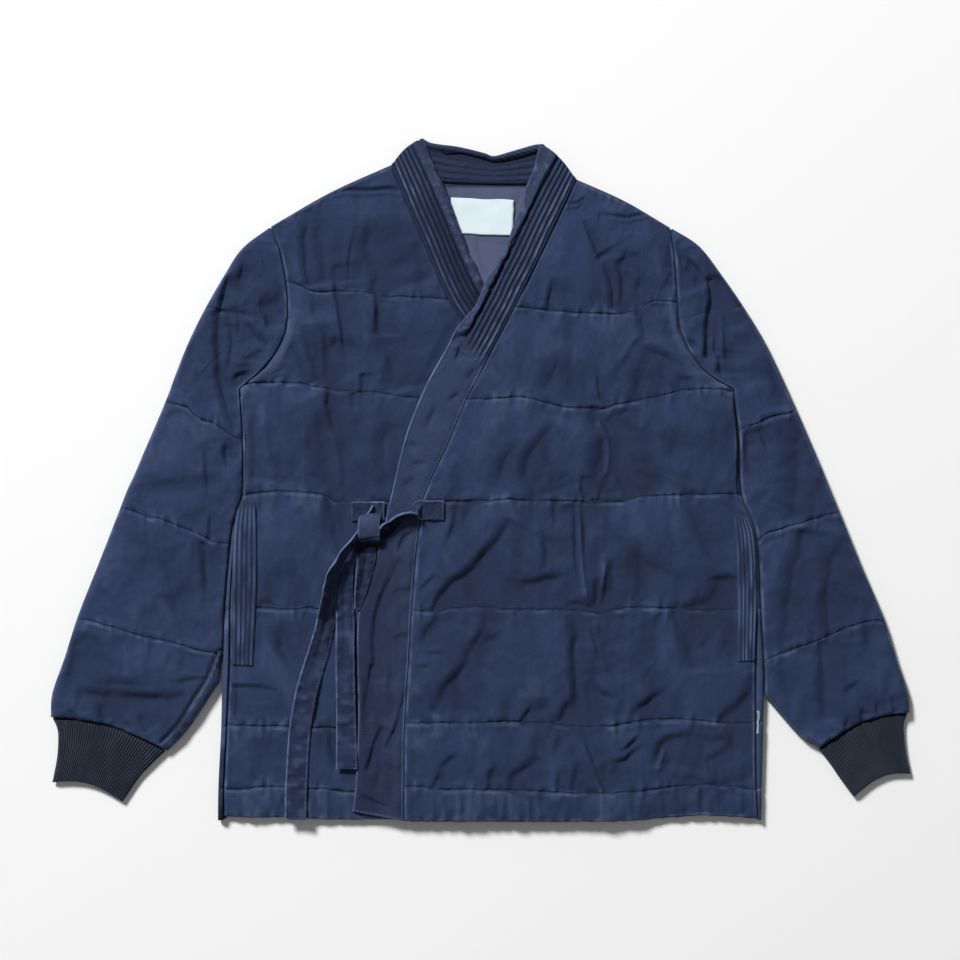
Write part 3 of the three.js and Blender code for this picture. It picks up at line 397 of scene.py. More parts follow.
# The turned-up sides, from under the fold up to the side seam.
RIM_END = 0.62
for side, seam_rows in (("left", UNDER_FRONT), ("right", OVER_FRONT)):
    at = stops(BODY_LENGTH * RIM_END, 3.2, BODY_LINES[BODY_LINES < RIM_END] / RIM_END, near=(1, 2.2)) * RIM_END
    fold = edge(SIDE_FOLD, side + "_", at)
    sewn = edge(seam_rows, side + "_", at, [UNDERARM])
    turn = np.linspace(0, 1, 15)
    angle = np.pi * smooth(turn * 1.25)
    reach = -1.0 if side == "left" else 1.0
    sewn[:, 0] = reach * np.minimum(reach * sewn[:, 0], reach * fold[:, 0] - 1.2)
    line = bell(abs(above_line(at, BODY_LINES, BODY_LENGTH)) / 3)[:, None]
    ripple = noise(at[:, None] * BODY_LENGTH, turn[None] * 20, 11, 14, 8 + len(side))
    wall = RIM_TOP * (1 - 0.16 * line) + 0.5 * ripple
    inwards = np.clip((turn - 0.62) / 0.38, 0, 1)[None]
    px = fold[:, :1] + reach * (4.2 * np.sin(angle) - 4.2)
    px = mix(px, sewn[:, :1] + reach * 0.4, inwards**1.3 * (turn > 0.62))
    py = np.broadcast_to(mix(fold[:, 1:], sewn[:, 1:], inwards), px.shape)
    pz = np.maximum(wall / 2 * (1 - np.cos(angle)) - 2.6 * np.clip(inwards - 0.7, 0, 1) / 0.3, 0)
    points = np.dstack([px, py, pz])
    flat = np.dstack([np.broadcast_to(turn * 22, px.shape), py])
    # Below the underarm it lies deep in the dark between the front and the sleeve, and that shade is painted on it.
    deep = smooth((py - (-5 if side == "right" else 55)) / 14) * smooth((96 - py) / 8)
    between = smooth((py + 20) / 8) * smooth((96 - py) / 8)
    wear = (0.12 + 0.3 * line) * (1 - between)
    groove = np.clip(bell((1 - turn)[None] * 9) + 0.5 * between + 1.0 * deep, 0, 1.5)
    if side == "left":
        points = points[::-1]
    back_pieces.append(cloth_object(f"rim_{side}", points, flat, wear, groove))
back = dressed(joined("back_cloth", back_pieces), QUILTED, "quilted_cloth", "back")

# ---------------------------------------------------------------- fronts
# Two padded panels, the wearer's left one lapping over the right one. Cloth a little larger than the channels that
# it is stitched in puckers beside each line, and the knot's pull and the way it was laid down leave longer folds.

FRONT_LOW = BACK_WALL + 0.6
SEAM_WALL = 4.0
PRESSED_WALL = 3.9
LAP_LOW = 10.6
LAP_CLEAR, LAP_RAMP = 11.0, 36.0
SHOULDER_REACH = 540.0  # across the shoulder seam, which the rows meet at a slant
GAP = 0.12
ARMHOLE_FEET = ((-243, 101), (257, 99))
SETTLING_FRAMES = 22

OVER_BAND_EDGE = table("at x y", """
0 -132 -343
.05 -129 -318
.15 -126 -250
.31 -126 -140
.4 -110 -88
.48 -96 -34
.56 -78 42
.63 -57 96
.69 -33 140
.725 -23 160
.76 -7 178
.8 5 203
.85 19 227
.9 33 256
.95 46 293
1 65 349
""")
UNDER_BAND_EDGE = table("at x y", """
0 148 -343
.05 145 -318
.15 140 -250
.31 136 -140
.4 124 -84
.48 112 -36
.56 94 42
.63 73 96
.69 43 146
.76 15 188
.8 -1 212
.85 -15 246
.9 -28 281
.95 -41 312
1 -60 355
""")

# Folds: the width and depth of each, the share of that depth it has at its two ends, and its places in
# turn. A negative depth is a ridge.
FOLDS = numbers("""
# under front, shoulder and chest
8 1.7 .3 .9 -184 276 -186 250 -184 220 -181 203
9 1.5 .3 .7 -172 279 -170 250 -166 222 -165 208
5 1.2 .1 1 -154 224 -151 206
15 2.3 .1 1 -127 268 -122 240 -116 216 -111 196
2.5 .8 .3 .5 -131 260 -137 230 -139 199
4.5 2.4 1 .5 -109 202 -108 180 -109 153
13 1.7 .2 .9 -110 160 -105 138 -99 118 -96 96
3 1.5 .7 .3 -152 206 -151 190 -147 170 -144 150 -142 126 -138 110
5 2.2 .2 1 -165 156 -162 140 -160 120 -159 100 -159 78
4.5 2 1 .8 -159 78 -152 52 -146 32 -142 10 -142 -5 -141 -19
14 1.7 .2 1 -182 74 -170 40 -163 10 -160 -14
5.5 1.6 .2 1 -186 156 -182 138 -175 120 -169 99
5 1.3 .2 1 -193 130 -187 112 -181 99
7 1.3 .2 .5 -152 150 -157 132
4 1 .3 .2 -175 188 -174 168
9 -1.5 .3 .6 -192 172 -196 146 -210 120 -234 103
13 1.5 .4 .4 -78 64 -96 62 -107 48 -108 22 -104 -8
10 -1 .3 .2 -228 78 -224 48 -220 18 -213 -6
9 1.3 .2 .8 -240 62 -238 34 -240 4
18 1.2 .2 .5 -196 62 -186 30 -172 -4
6 1 .2 .8 -134 18 -129 0 -130 -18
3 1 1 .2 -134 88 -133 70
3 1 1 .2 -124 108 -124 74
3 1.9 .4 .5 -165 295 -141 302.5 -111 302 -95 303.4 -77 301.6
3.5 -1.1 .3 .4 -160 291 -140 297.5 -111 297 -95 298 -80 296
# under front, below the waist
12 1.8 1 .4 -160 -24 -157 -50 -152 -74
9 1.7 .2 .4 -217 -158 -211 -174 -203 -188 -192 -200
2.5 .8 .3 .3 -231 -125 -220 -125 -209 -129
2.4 1.2 .7 .3 -256 -212 -240 -212 -226 -213 -211 -216
3 .8 .7 .3 -254 -214 -254 -246
6 1.6 .4 .6 -160 -262 -156 -280 -152 -298
12 .9 .2 .2 -238 -268 -232 -300
14 .8 .2 .2 -214 -84 -186 -96
# over front, shoulder and chest
2.6 1.5 .3 .8 107 264 113 250 118 238 122 229
5.5 1.7 .7 1 122 229 127 221 131 208 134 196 134 180
6 1.8 .5 1 140 223 145 210 146 197 146 186 144 176
5 1 .2 .6 149 240 144 224
4.5 1.4 .2 1 73 208 71 195 69 184 69 177
6 .9 .2 .9 163 214 161 198 162 180
8 1.5 1 .6 164 178 164 162 167 146
8 1.5 .6 .2 167 146 180 137 195 130 210 123
13 1 .4 .4 189 256 191 228 195 200
8 -1.3 .3 .7 199 196 201 166 212 138 234 112 254 99
3 1.1 .3 .8 121 113 121 98 124 85 131 74
10 1.1 .2 .5 76 132 70 114 62 98
10 .8 .2 .8 158 118 156 84
4 .9 .3 .3 206 110 214 106 222 108
9 1.4 1 .3 113 72 112 54
16 1.8 .8 .3 126 58 119 34 112 16 106 0
4 -1.4 .7 .2 124 58 131 44 133 28 132 10 124 0
7 1.6 .6 .8 134 62 140 48 141 28 141 8 148 -8 151 -19
10 1.6 .3 .8 70 58 58 44 49 33 43 20 42 4 50 -10 53 -18
9 1.2 .2 .3 33 40 24 28 18 14 12 -4
3 1.8 .5 .4 104 2 104 -10 107 -21 105 -32 107 -52
3 1 .3 .3 125 -4 122 -20 117 -40
18 .8 .2 .2 196 60 190 22
14 .7 .2 .2 236 66 232 20
2.6 1.5 .8 .5 92 287 101 288 106 292
2.6 -1.3 .8 .5 88.7 283.8 101 283.8 104 287
3 1.4 .4 .4 125.5 276.5 140 274.5 153 273.4 177.5 279.5
3.5 -.9 .4 .4 128 271.5 153 268.6 174 274
# over front, the pull of the knot
9 3.6 .3 1 24 -42 14 -62 2 -76 -8 -90 -19 -98 -31 -106 -41 -120 -48 -132
7 2.3 1 .2 -40 -137 -50 -147 -58 -156 -65 -168
2.5 .9 .4 .2 -48 -98 -63 -113
5 1.4 .9 .2 -27 -24 -29 -46 -38 -68
3 1.1 1 .2 -16 -23 -18 -46
6 1.7 .2 .3 61 -56 65 -72 65 -90
18 1 .5 .3 44 -24 50 -46 60 -64
9 2.2 .2 .3 90 -90 76 -98 58 -102 43 -107 40 -126
9 1.3 .2 .8 18 -98 16 -112 14 -130
4 1.3 .8 .4 96 -24 97 -60 98 -86 101 -112
4 -1.5 .8 .6 102 -24 103 -60 105 -90 109 -120
3 1.1 .8 .2 108 -25 107 -50 107 -76
3 .9 .8 .2 76 -24 76 -54
4 -1.6 .3 .8 129 -79 127 -100 124 -130
6 2.2 .3 1 116 -106 118 -120 118 -134
4 1.2 .3 .3 133 -84 135 -110
5 2 .6 .6 92 -127 104 -127 114 -129
8 2.3 .7 1 98 -138 96 -156 93 -176 93 -200 97 -226 104 -253
4 -1 .3 .8 106 -218 110 -236 113 -253
2.6 1.4 1 .5 112 -140 115 -160 120 -178 123 -188
3 -1 .8 .2 118 -139 121 -160
9 1.6 .5 .3 122 -178 128 -190 136 -208
4 1.5 .3 .2 118 -207 125 -218 140 -225
9 1.1 .7 .2 129 -140 126 -160 124 -176
7 2.3 .2 1 87 -226 85 -240 77 -253
3.5 2 .3 1 51 -236 45 -244 41 -251
10 1 .2 .4 68 -224 52 -236
5 1.2 .3 .3 192 -214 176 -225 156 -239
5 1.1 .9 .4 7 -134 4 -150
6 1.1 .3 .4 19 -157 6 -165 -6 -171
8 1.9 .3 .6 1 -152 -7 -166 -15 -180
5 1.3 .6 .2 -11 -180 -8 -202
9 2.1 .6 .3 -14 -182 -24 -196 -35 -209 -45 -223 -51 -234
2.2 .9 .2 .2 -38 -178 -58 -178
2.2 .9 .2 .2 -50 -191 -69 -193
4 .9 .9 .2 36 -136 36 -160
# over front, the wearer's left
12 1.3 .7 .2 134 -23 138 -42 148 -56 162 -70 178 -82 204 -94 228 -99
8 1.3 .6 .2 211 -18 216 -40 224 -60 231 -78 240 -92
11 2.5 .4 .7 251 -99 244 -112 236 -123 222 -129 204 -131
5 1.3 .3 .3 262 -100 238 -101
6 1.2 .6 .2 238 -138 231 -152
8 1.4 .3 .5 204 -150 210 -166 212 -181 216 -196
4 .9 .2 .2 239 -158 232 -168 225 -173
8 .9 .3 .3 251 -152 252 -168 246 -180
11 2.6 .5 1 284 -204 276 -219 266 -235 250 -246
14 1.6 .4 .5 228 -257 242 -263 260 -262
7 2 .6 .6 266 -254 262 -270 252 -282 236 -287
7 2.4 .3 .5 216 -261 201 -264 192 -267 185 -274 182 -284 181 -292
3.5 -1.4 .2 .2 192 -276 188 -288 184 -300
6 1.1 .2 .2 196 -280 193 -291 187 -302
9 1.8 .3 .5 281 -284 285 -308 287 -336
6 1.3 .3 .3 204 -306 224 -309 246 -314 276 -306
# over front, above the hem
11 .9 .8 .6 58 -256 54 -272 51 -288
8 1.9 .5 .8 57 -286 43 -296 34 -303 27 -318
6 1.3 .8 .3 83 -256 79 -270 74 -285
11 .8 .7 .2 24 -256 28 -290
4 1 .3 .2 -25 -281 -35 -290 -44 -297
3 1.3 .3 .8 -43 -303 -49 -316
4 1.2 .2 .9 14 -294 9 -306 8 -319
4 1.1 .2 .9 80 -298 79 -320
5 1.6 .3 .9 99 -292 97 -305 94 -319
3.5 1.9 1 1 105 -256 110 -276 116 -291 123 -308 127 -322
3 -1.1 .7 .7 112 -258 118 -283 127 -310
6 1.3 .2 .8 124 -286 128 -304 129 -321
4 1.7 .3 1 141 -294 136 -306 130 -321
2.6 1.3 .3 .2 164 -264 155 -272 145 -281
3 1.6 .2 .3 167 -275 157 -281 150 -288 138 -290
""")
FOLD_DEPTH = 2.35
DRAWN = (0.57, -0.82)  # the way the cloth was smoothed down, which is the side that each fold falls to


def beside_run(x, y, places):
    """How far each place is to the right of a run of places, how far along the run it is, and the run's length."""
    legs = np.diff(places, axis=0)
    lengths = np.hypot(*legs.T)
    least, off, run = (np.full(x.shape, v) for v in (np.inf, 0.0, 0.0))
    for j, ((x0, y0), (dx, dy), length) in enumerate(zip(places, legs, lengths)):
        t = ((x - x0) * dx + (y - y0) * dy) / length**2
        inner = np.clip(t, 0, 1)
        gap = np.hypot(x - x0 - inner * dx, y - y0 - inner * dy)
        beside = ((x - x0) * dy - (y - y0) * dx) / length
        past = ((t < 0) & (j == 0)) | ((t > 1) & (j == len(legs) - 1))
        closer = gap < least
        least = np.where(closer, gap, least)
        off = np.where(closer, np.where(past, beside, gap * np.sign(beside)), off)
        run = np.where(closer, lengths[:j].sum() + t * length, run)
    return off, run, lengths.sum()


def fold_relief(x, y, folds):
    """How far the listed folds raise or lower the cloth. Each rolls over, falls to a crease, and rises slowly."""
    relief = np.zeros(x.shape)
    for k, (width, depth, first, last, *places) in enumerate(folds):
        places = np.reshape(places, (-1, 2))
        low, high = places.min(0) - 6 * width, places.max(0) + 6 * width
        near = (x > low[0]) & (x < high[0]) & (y > low[1]) & (y < high[1])
        off, run, length = beside_run(x[near], y[near], places)
        whole = places[-1] - places[0]
        side = 1 if whole[1] * DRAWN[0] - whole[0] * DRAWN[1] > 0 else -1
        width *= 1.25
        fade = 0.4 * width + 2.5
        strength = np.interp(run / length, (0, 0.35, 0.65, 1), (first, 1, 1, last))
        strength *= smooth(1 + run / fade) * smooth(1 + (length - run) / fade)
        q = side * off / (width * (1 + 0.22 * noise(run, 0 * run, 11, 1, 40 + k)))
        if depth > 0:
            shape = np.clip(q + 0.6, 0, 1.1) ** 1.8 * np.exp(-np.maximum(q - 0.5, 0) / 2.4)
        else:
            shape = bell(q / 0.8)
        relief[near] -= FOLD_DEPTH * depth * strength * shape
    return relief


def seam_relief(x, y, above, seed, groove=1.1, pucker=1.5):
    """A stitched line's groove and the pleats that die out beside it, from how far each place lies above the line."""
    gap = abs(above)
    pleats = noise(x, y, 4.2, 21, seed) + 0.7 * noise(x + 0.2 * y, y, 8.5, 33, seed + 1)
    reach = np.where(above < 0, 13, 9) * (1 + 0.7 * noise(x, 0 * y, 15, 1, seed + 2))
    held = 0.85 + 0.4 * noise(x, 0 * y, 18, 1, seed + 3)
    return pucker * np.clip(pleats, -0.55, 1.2) * bell(gap / reach) - groove * held * bell(gap / 1.25)


def line_shadow(x, y, above, folds, pleats, seed):
    """How dark each place is painted: the stitched line, partly its dark thread and partly painted shade, and painted
    shade in the pleats beside it and down the folds.
    """
    line = bell(above / 0.7) * (0.45 + 0.35 * noise(x, 0 * y, 6, 1, seed + 5))
    ticks = 0.5 * np.clip(-pleats - 0.25, 0, 1) * bell(above / 6)
    return line + ticks + 0.42 * np.clip(-folds / 3, 0, 1)


def crumpled(x, y, seed):
    """The unevenness that washing leaves all over a padded cloth."""
    creased = 0.5 - abs(noise(x + 0.3 * y, y, 13, 17, seed + 1))
    return 0.6 * noise(x, y, 17, 27, seed) + 0.4 * creased + 0.16 * noise(x, y, 5, 8, seed + 2)


def eased_up(height, least, sharpness):
    """Heights that meet their least value smoothly."""
    return least + np.logaddexp(0, (height - least) * sharpness) / sharpness


def stitched_ridges(x, y, above, seed):
    """The worn crests on both sides of a stitched line, in dashes. The stronger one, on the hem side whose slope
    faces the light, is partly a painted highlight.
    """
    dashes = np.clip(0.9 * noise(x, y, 9, 6, seed + 3) + 0.25, 0, 1)
    return (bell((above + 2.6) / 1.5) * 0.3 + bell((above - 1.9) / 0.9) * 0.1) * dashes


def coarse_stops(lines, step, length):
    """Every line, and places about a step apart between them."""
    gaps = zip(lines[:-1], lines[1:])
    between = [np.linspace(a, b, max(2, round((b - a) * length / step)) + 1)[1:-1] for a, b in gaps]
    return np.sort(np.concatenate([lines, *between]))


def settled(name, points, pinned, growth):
    """Lets a coarse sheet that is cut a little too large settle between the places where it is pinned."""
    sheet = cloth_object(name, points, points[..., :2])
    group = sheet.vertex_groups.new(name="pinned")
    group.add(np.flatnonzero(pinned.ravel()).tolist(), 1.0, "REPLACE")
    cloth = sheet.modifiers.new("settle", "CLOTH")
    facts = cloth.settings
    facts.vertex_group_mass = "pinned"
    facts.quality = 4
    facts.mass = 0.3
    facts.tension_stiffness = facts.compression_stiffness = 15
    facts.shear_stiffness = 5
    facts.bending_stiffness = 0.6
    facts.effector_weights.gravity = 0
    facts.use_pressure = True
    facts.uniform_pressure_force = 1.0
    facts.shrink_min = -growth
    cloth.collision_settings.use_collision = False
    cloth.point_cache.frame_start, cloth.point_cache.frame_end = 1, SETTLING_FRAMES
    for f in range(1, SETTLING_FRAMES + 1):
        bpy.context.scene.frame_set(f)
    solved = sheet.evaluated_get(bpy.context.evaluated_depsgraph_get()).to_mesh()
    out = np.empty(points.size, np.float32)
    solved.vertices.foreach_get("co", out)
    bpy.data.objects.remove(sheet)
    bpy.context.scene.frame_set(1)
    return out.reshape(points.shape).astype(float) / MM


def settled_shift(name, plan, height, laid, lines, coarse, fine, growth=0.012, narrow=False):
    """How far a coarse sheet moves as it settles, pinned at its sides, its lines and where it is narrow, read at the
    places of the fine sheet."""
    (coarse_u, coarse_v), (us, vs) = coarse, fine
    pinned = (np.isin(coarse_v, lines) | narrow)[:, None] | np.isin(coarse_u, (0, 1))
    points = np.dstack([plan, np.where(pinned, laid, height)])
    shift = settled(name, points, pinned, growth) - np.dstack([plan, np.zeros(plan.shape[:2])])
    shift = along(coarse_v, shift, vs, lines)
    return np.swapaxes(along(coarse_u, np.swapaxes(shift, 0, 1), us), 0, 1)


def edge_x(rows, y):
    """The x at which a band's edge, which climbs from hem to neck, reaches a height y."""
    at = np.linspace(0, 1, 400)
    place = edge(rows, "", at)
    return np.interp(y, place[:, 1], place[:, 0])


def lap_low(x, y):
    """The underside of what laps over: up on the hidden front, then down on the back's level past its edge."""
    down = smooth((x - edge_x(UNDER_BAND_EDGE, y) - LAP_CLEAR) / LAP_RAMP)
    return mix(LAP_LOW, FRONT_LOW, down)


def runs(text):
    """A run of places (x, y) from each row of a written table."""
    return [row.reshape(-1, 2) for row in numbers(text)]


# Where each line of stitching crosses a front, from its hem to its shoulder, at the heights in BODY_LINES.
OVER_LINES = runs("""
-79 -353.5 0 -354 100 -354 130 -354 170 -352 200 -350 240 -348 270 -350 289 -351
-78 -318 -60 -317 -50 -320 -10 -320 40 -321 80 -323 128 -324 170 -322 200 -318 240 -316 262 -318 288 -322
-78 -251 0 -251 30 -250 75 -252 90 -254 110 -255 140 -254 165 -250 200 -247.5 225 -249 245 -251 286 -251
-71 -134 -50 -136 -38 -134 -28 -132 15 -131 22 -133 60 -134 100 -134 120 -137 140 -134 160 -132 200 -133 230 \
-134 287 -135
-60 -22 0 -21.5 20 -21 30 -19.5 40 -21 100 -22 120 -23 150 -22 156 -19.5 170 -17 190 -16 230 -15 268 -14.5
-15 84 10 84 30 85.5 45 86 57 83 70 80 85 76 100 75 130 74 140 78 150 80 170 84 190 88 205 92 218 94 250 94 263 \
92
36 179 60 177 90 174 110 173 145 172 155 174 165 178 175 184 185 186 205 184
100 311.5 150 288 197 261.5
""")
UNDER_LINES = runs("""
-264 -349 -240 -350 -200 -350 -150 -352 95 -353
-263 -320 -240 -320 -230 -318 -205 -318 -180 -320 -160 -320 -138 -323 95 -323
-262 -254 -225 -255 -200 -255.5 -175 -256 -150 -257 94 -257
-262 -133 -225 -132.5 -205 -134 -190 -134 -180 -132.5 -165 -134 87 -134
-247 -17 -240 -15 -225 -12.5 -200 -12 -180 -13 -165 -15 -157 -18 -150 -22 76 -23
-249 97 -240 100 -225 101 -200 101 -185 100 -170 97 -150 94 -130 92 -110 91 -90 88 -65 85 31 82
-200 206 -190 203 -184 201 -178 197 -165 195 -140 196 -112 194 -100 191 -60 189 -34 187
-217 262.5 -155 297.5 -92 326.5
""")


def turned_in(points, floor, inset):
    """Adds the turned-in edge all round a sheet: down to the floor, and a little way back under it."""
    for axis in (0, 1):
        points = np.swapaxes(points, 0, axis)
        ends = []
        for first, inner in ((0, 3), (-1, -4)):
            low = points[first].copy()
            low[:, 2] = np.minimum(floor(low[:, 0], low[:, 1]), low[:, 2])
            way = points[inner, :, :2] - points[first, :, :2]
            way /= np.maximum(np.linalg.norm(way, axis=1, keepdims=True), 1e-6)
            under = low.copy()
            under[:, :2] += way * inset
            ends.append((under, low))
        points = np.concatenate([[ends[0][0], ends[0][1]], points, [ends[1][1], ends[1][0]]])
        points = np.swapaxes(points, 0, axis)
    return points


def level(z):
    """A floor at one height."""
    return lambda x, y: np.full_like(x, z)


def sheet_object(name, points, cut, wear, groove, floor, inset=5.0, deepest=1.0, flip=None):
    """A sheet's mesh with its edges turned in down to a floor. Its flat places and shares are carried round them."""
    shape = points.shape[:2]
    wear, groove = (
        np.pad(np.broadcast_to(np.clip(share, 0, most), shape), 2, mode="edge")
        for share, most in ((wear, 1), (groove, deepest))
    )
    cut = np.pad(cut, ((2, 2), (2, 2), (0, 0)), mode="edge")
    return cloth_object(name, turned_in(points, floor, inset), cut, wear, groove, flip=flip)


def front_plan(rows, lines, us, vs, split):
    """Places over a front: its stitched lines keep their own ways across, and the places between lie evenly. split
    gives the share of each row that u = 0.5 lies at, if it isn't the middle."""
    k = np.clip(np.searchsorted(BODY_LINES, vs, side="right") - 1, 0, len(lines) - 2)
    f = ((vs - BODY_LINES[k]) / (BODY_LINES[k + 1] - BODY_LINES[k]))[:, None]
    sides = [edge(rows, side, np.linspace(0, 1, 800), [UNDERARM]) for side in ("left_", "right_")]

    def height(x):
        levels = []
        for n, (px, py) in enumerate(line.T for line in lines):
            smooth_line = along(px, py, np.clip(x, px[0], px[-1]).ravel()).reshape(x.shape)
            levels.append(smooth_line + 0.5 * noise(x, 0 * x, 5, 1, n))
        levels = np.stack(levels)
        row, column = np.ogrid[: x.shape[0], : x.shape[1]]
        return mix(levels[k[:, None], row, column], levels[k[:, None] + 1, row, column], f)

    ends = []
    for side, step in zip(sides, (GAP, -GAP)):
        x = np.interp(mix(side[0, 1], side[-1, 1], vs), side[:, 1], side[:, 0])[:, None]
        for _ in range(4):
            x = np.interp(height(x)[:, 0], side[:, 1], side[:, 0])[:, None]
        ends.append(x + step)
    share = np.broadcast_to(us, (len(vs), len(us)))
    if split is not None:
        half = split(ends[0], ends[1], height(ends[1]))
        share = np.where(share < 0.5, share * 2 * half, half + (share - 0.5) * 2 * (1 - half))
    x = mix(ends[0], ends[1], share)
    return np.dstack([x, height(x)]), share, (ends[1] - ends[0])[:, 0]


def front(name, rows, lines, low, us, freedom, split, seed):
    """A front: a coarse sheet settles first, and the fine one then gets its folds, pleats and grooves. low gives the
    height of its underside, and freedom is 1 where it can puff up and 0 where the other front presses it."""
    coarse_u, coarse_v = np.linspace(0, 1, 74), coarse_stops(BODY_LINES, 4.6, BODY_LENGTH)
    plan = front_plan(rows, lines, coarse_u, coarse_v, split)[0]
    part = np.interp(coarse_v, BODY_LINES, np.arange(8)) % 1
    full = 2.2 * np.sqrt(4 * part * (1 - part))[:, None] + 0.5 * noise(plan[..., 0], plan[..., 1], 12, 22, seed)
    laid = 0.5 * noise(plan[..., 0], plan[..., 1], 9, 60, seed + 1)
    vs = stops(BODY_LENGTH, 1.9, BODY_LINES, near=(0.6, 1.2, 2.0, 3.1))
    moved = settled_shift(name + "_coarse", plan, full, laid, BODY_LINES, (coarse_u, coarse_v), (us, vs))
    plan, share, width = front_plan(rows, lines, us, vs, split)
    x, y = plan[..., 0], plan[..., 1]
    free = freedom(x, y)
    above = above_line(vs, BODY_LINES, BODY_LENGTH)[:, None] + 0 * x
    from_side = np.minimum(share, 1 - share) * width[:, None]
    border = np.minimum(from_side, np.minimum(vs * BODY_LENGTH, (1 - vs) * SHOULDER_REACH)[:, None])
    folds = fold_relief(x, y, FOLDS) * smooth(border / 5)
    pleats = seam_relief(x, y, above, seed)
    hem_pleats = 1.5 * np.clip(noise(x, y, 5.5, 60, seed + 6), -0.6, 1) * smooth((-318 - y) / 4)
    relief = folds + pleats + hem_pleats + crumpled(x, y, seed + 7)
    height = eased_up(SEAM_WALL + 0.5 * np.maximum(moved[..., 2], -1.5) + relief, 0.9, 2)
    height = mix(np.minimum(height, PRESSED_WALL - 0.2), height, free)
    sewn = smooth((vs - 0.62) / 0.02)[:, None]
    height *= 1 + 0.07 * bell((border - 3) / 1.8) * sewn
    snug = np.maximum(sewn, 0.8 * smooth((vs - 0.47) / 0.05)[:, None])
    z = low(x, y) + height * mix(mix(0.3, 1, rounded(border, 3.0)), mix(0.5, 1, rounded(border, 5.0)), snug)
    inward = smooth(border / 6)
    points = np.dstack([x + moved[..., 0] * inward * free, y + moved[..., 1] * inward * free, z])
    from_arm = (1 - share if split is None else share) * width[:, None]
    rim = bell((border - 2.0) / 1.4) * (0.2 + 0.3 * noise(x, y, 6, 9, seed + 4)) * smooth((0.97 - vs) / 0.02)[:, None]
    rim *= mix(1, np.where(from_arm < 60, 0.6, 0.1), sewn) * mix(1, 0.35, snug - sewn)
    # The cloth is drawn round the foot of each armhole, where a painted highlight pales the slope facing the light.
    from_foot = np.min([np.hypot(x - foot[0], y - foot[1]) for foot in ARMHOLE_FEET], axis=0)
    foot_highlight = bell(from_foot / 17)
    rim += 0.45 * foot_highlight * np.clip(1.5 * noise(x + y, y - x, 5, 13, seed + 8), 0, 1)
    # Pale share: rubbed rims and crests, painted highlights, and paler where the relief stands up.
    wear = np.maximum(stitched_ridges(x, y, above, seed), rim) + 0.1 * smooth(relief)
    shut = 0.4 * bell(border / 0.8) * sewn
    streaks = 0.28 * smooth((noise(x, y, 13, 38, seed + 11) - 0.1) / 0.8) * smooth(border / 8)
    # Dark share: the stitched lines and sewn edges, random streaks, and painted shade in the pleats and down the
    # folds.
    dark = line_shadow(x, y, above, folds, pleats, seed) * (border > 2) + shut + streaks
    return sheet_object(name, points, plan, wear, dark, lambda x, y: low(x, y) - 0.2)


def lap_share(left, right, y):
    """Along each row of the under front, the share at which the over front has covered it."""
    hidden = np.minimum(edge_x(OVER_BAND_EDGE, y) + 14, right - 4)
    return (hidden - left) / (right - left)


over_front = front("front_left_cloth", OVER_FRONT, OVER_LINES, lap_low, stops(330, 1.7), level(1.0), None, seed=21)
dressed(over_front, QUILTED, "quilted_cloth", "front_left")

hidden_stops = np.linspace(0.5, 1, 12)[1:]
under_front = front(
    "front_right_cloth", UNDER_FRONT, UNDER_LINES, level(FRONT_LOW),
    np.concatenate([stops(190, 1.75)[:-1] / 2, [0.5], hidden_stops]),
    lambda x, y: smooth((edge_x(OVER_BAND_EDGE, y) - 2 - x) / 14), lap_share, seed=61,
)  # fmt: skip
dressed(under_front, QUILTED, "quilted_cloth", "front_right")

# ---------------------------------------------------------------- sleeves
# Padded tubes that lie flat, each sewn to the armhole with its channels level round the arm. The underarm seam shows
# along the front of the wearer's right sleeve, above the cuff.

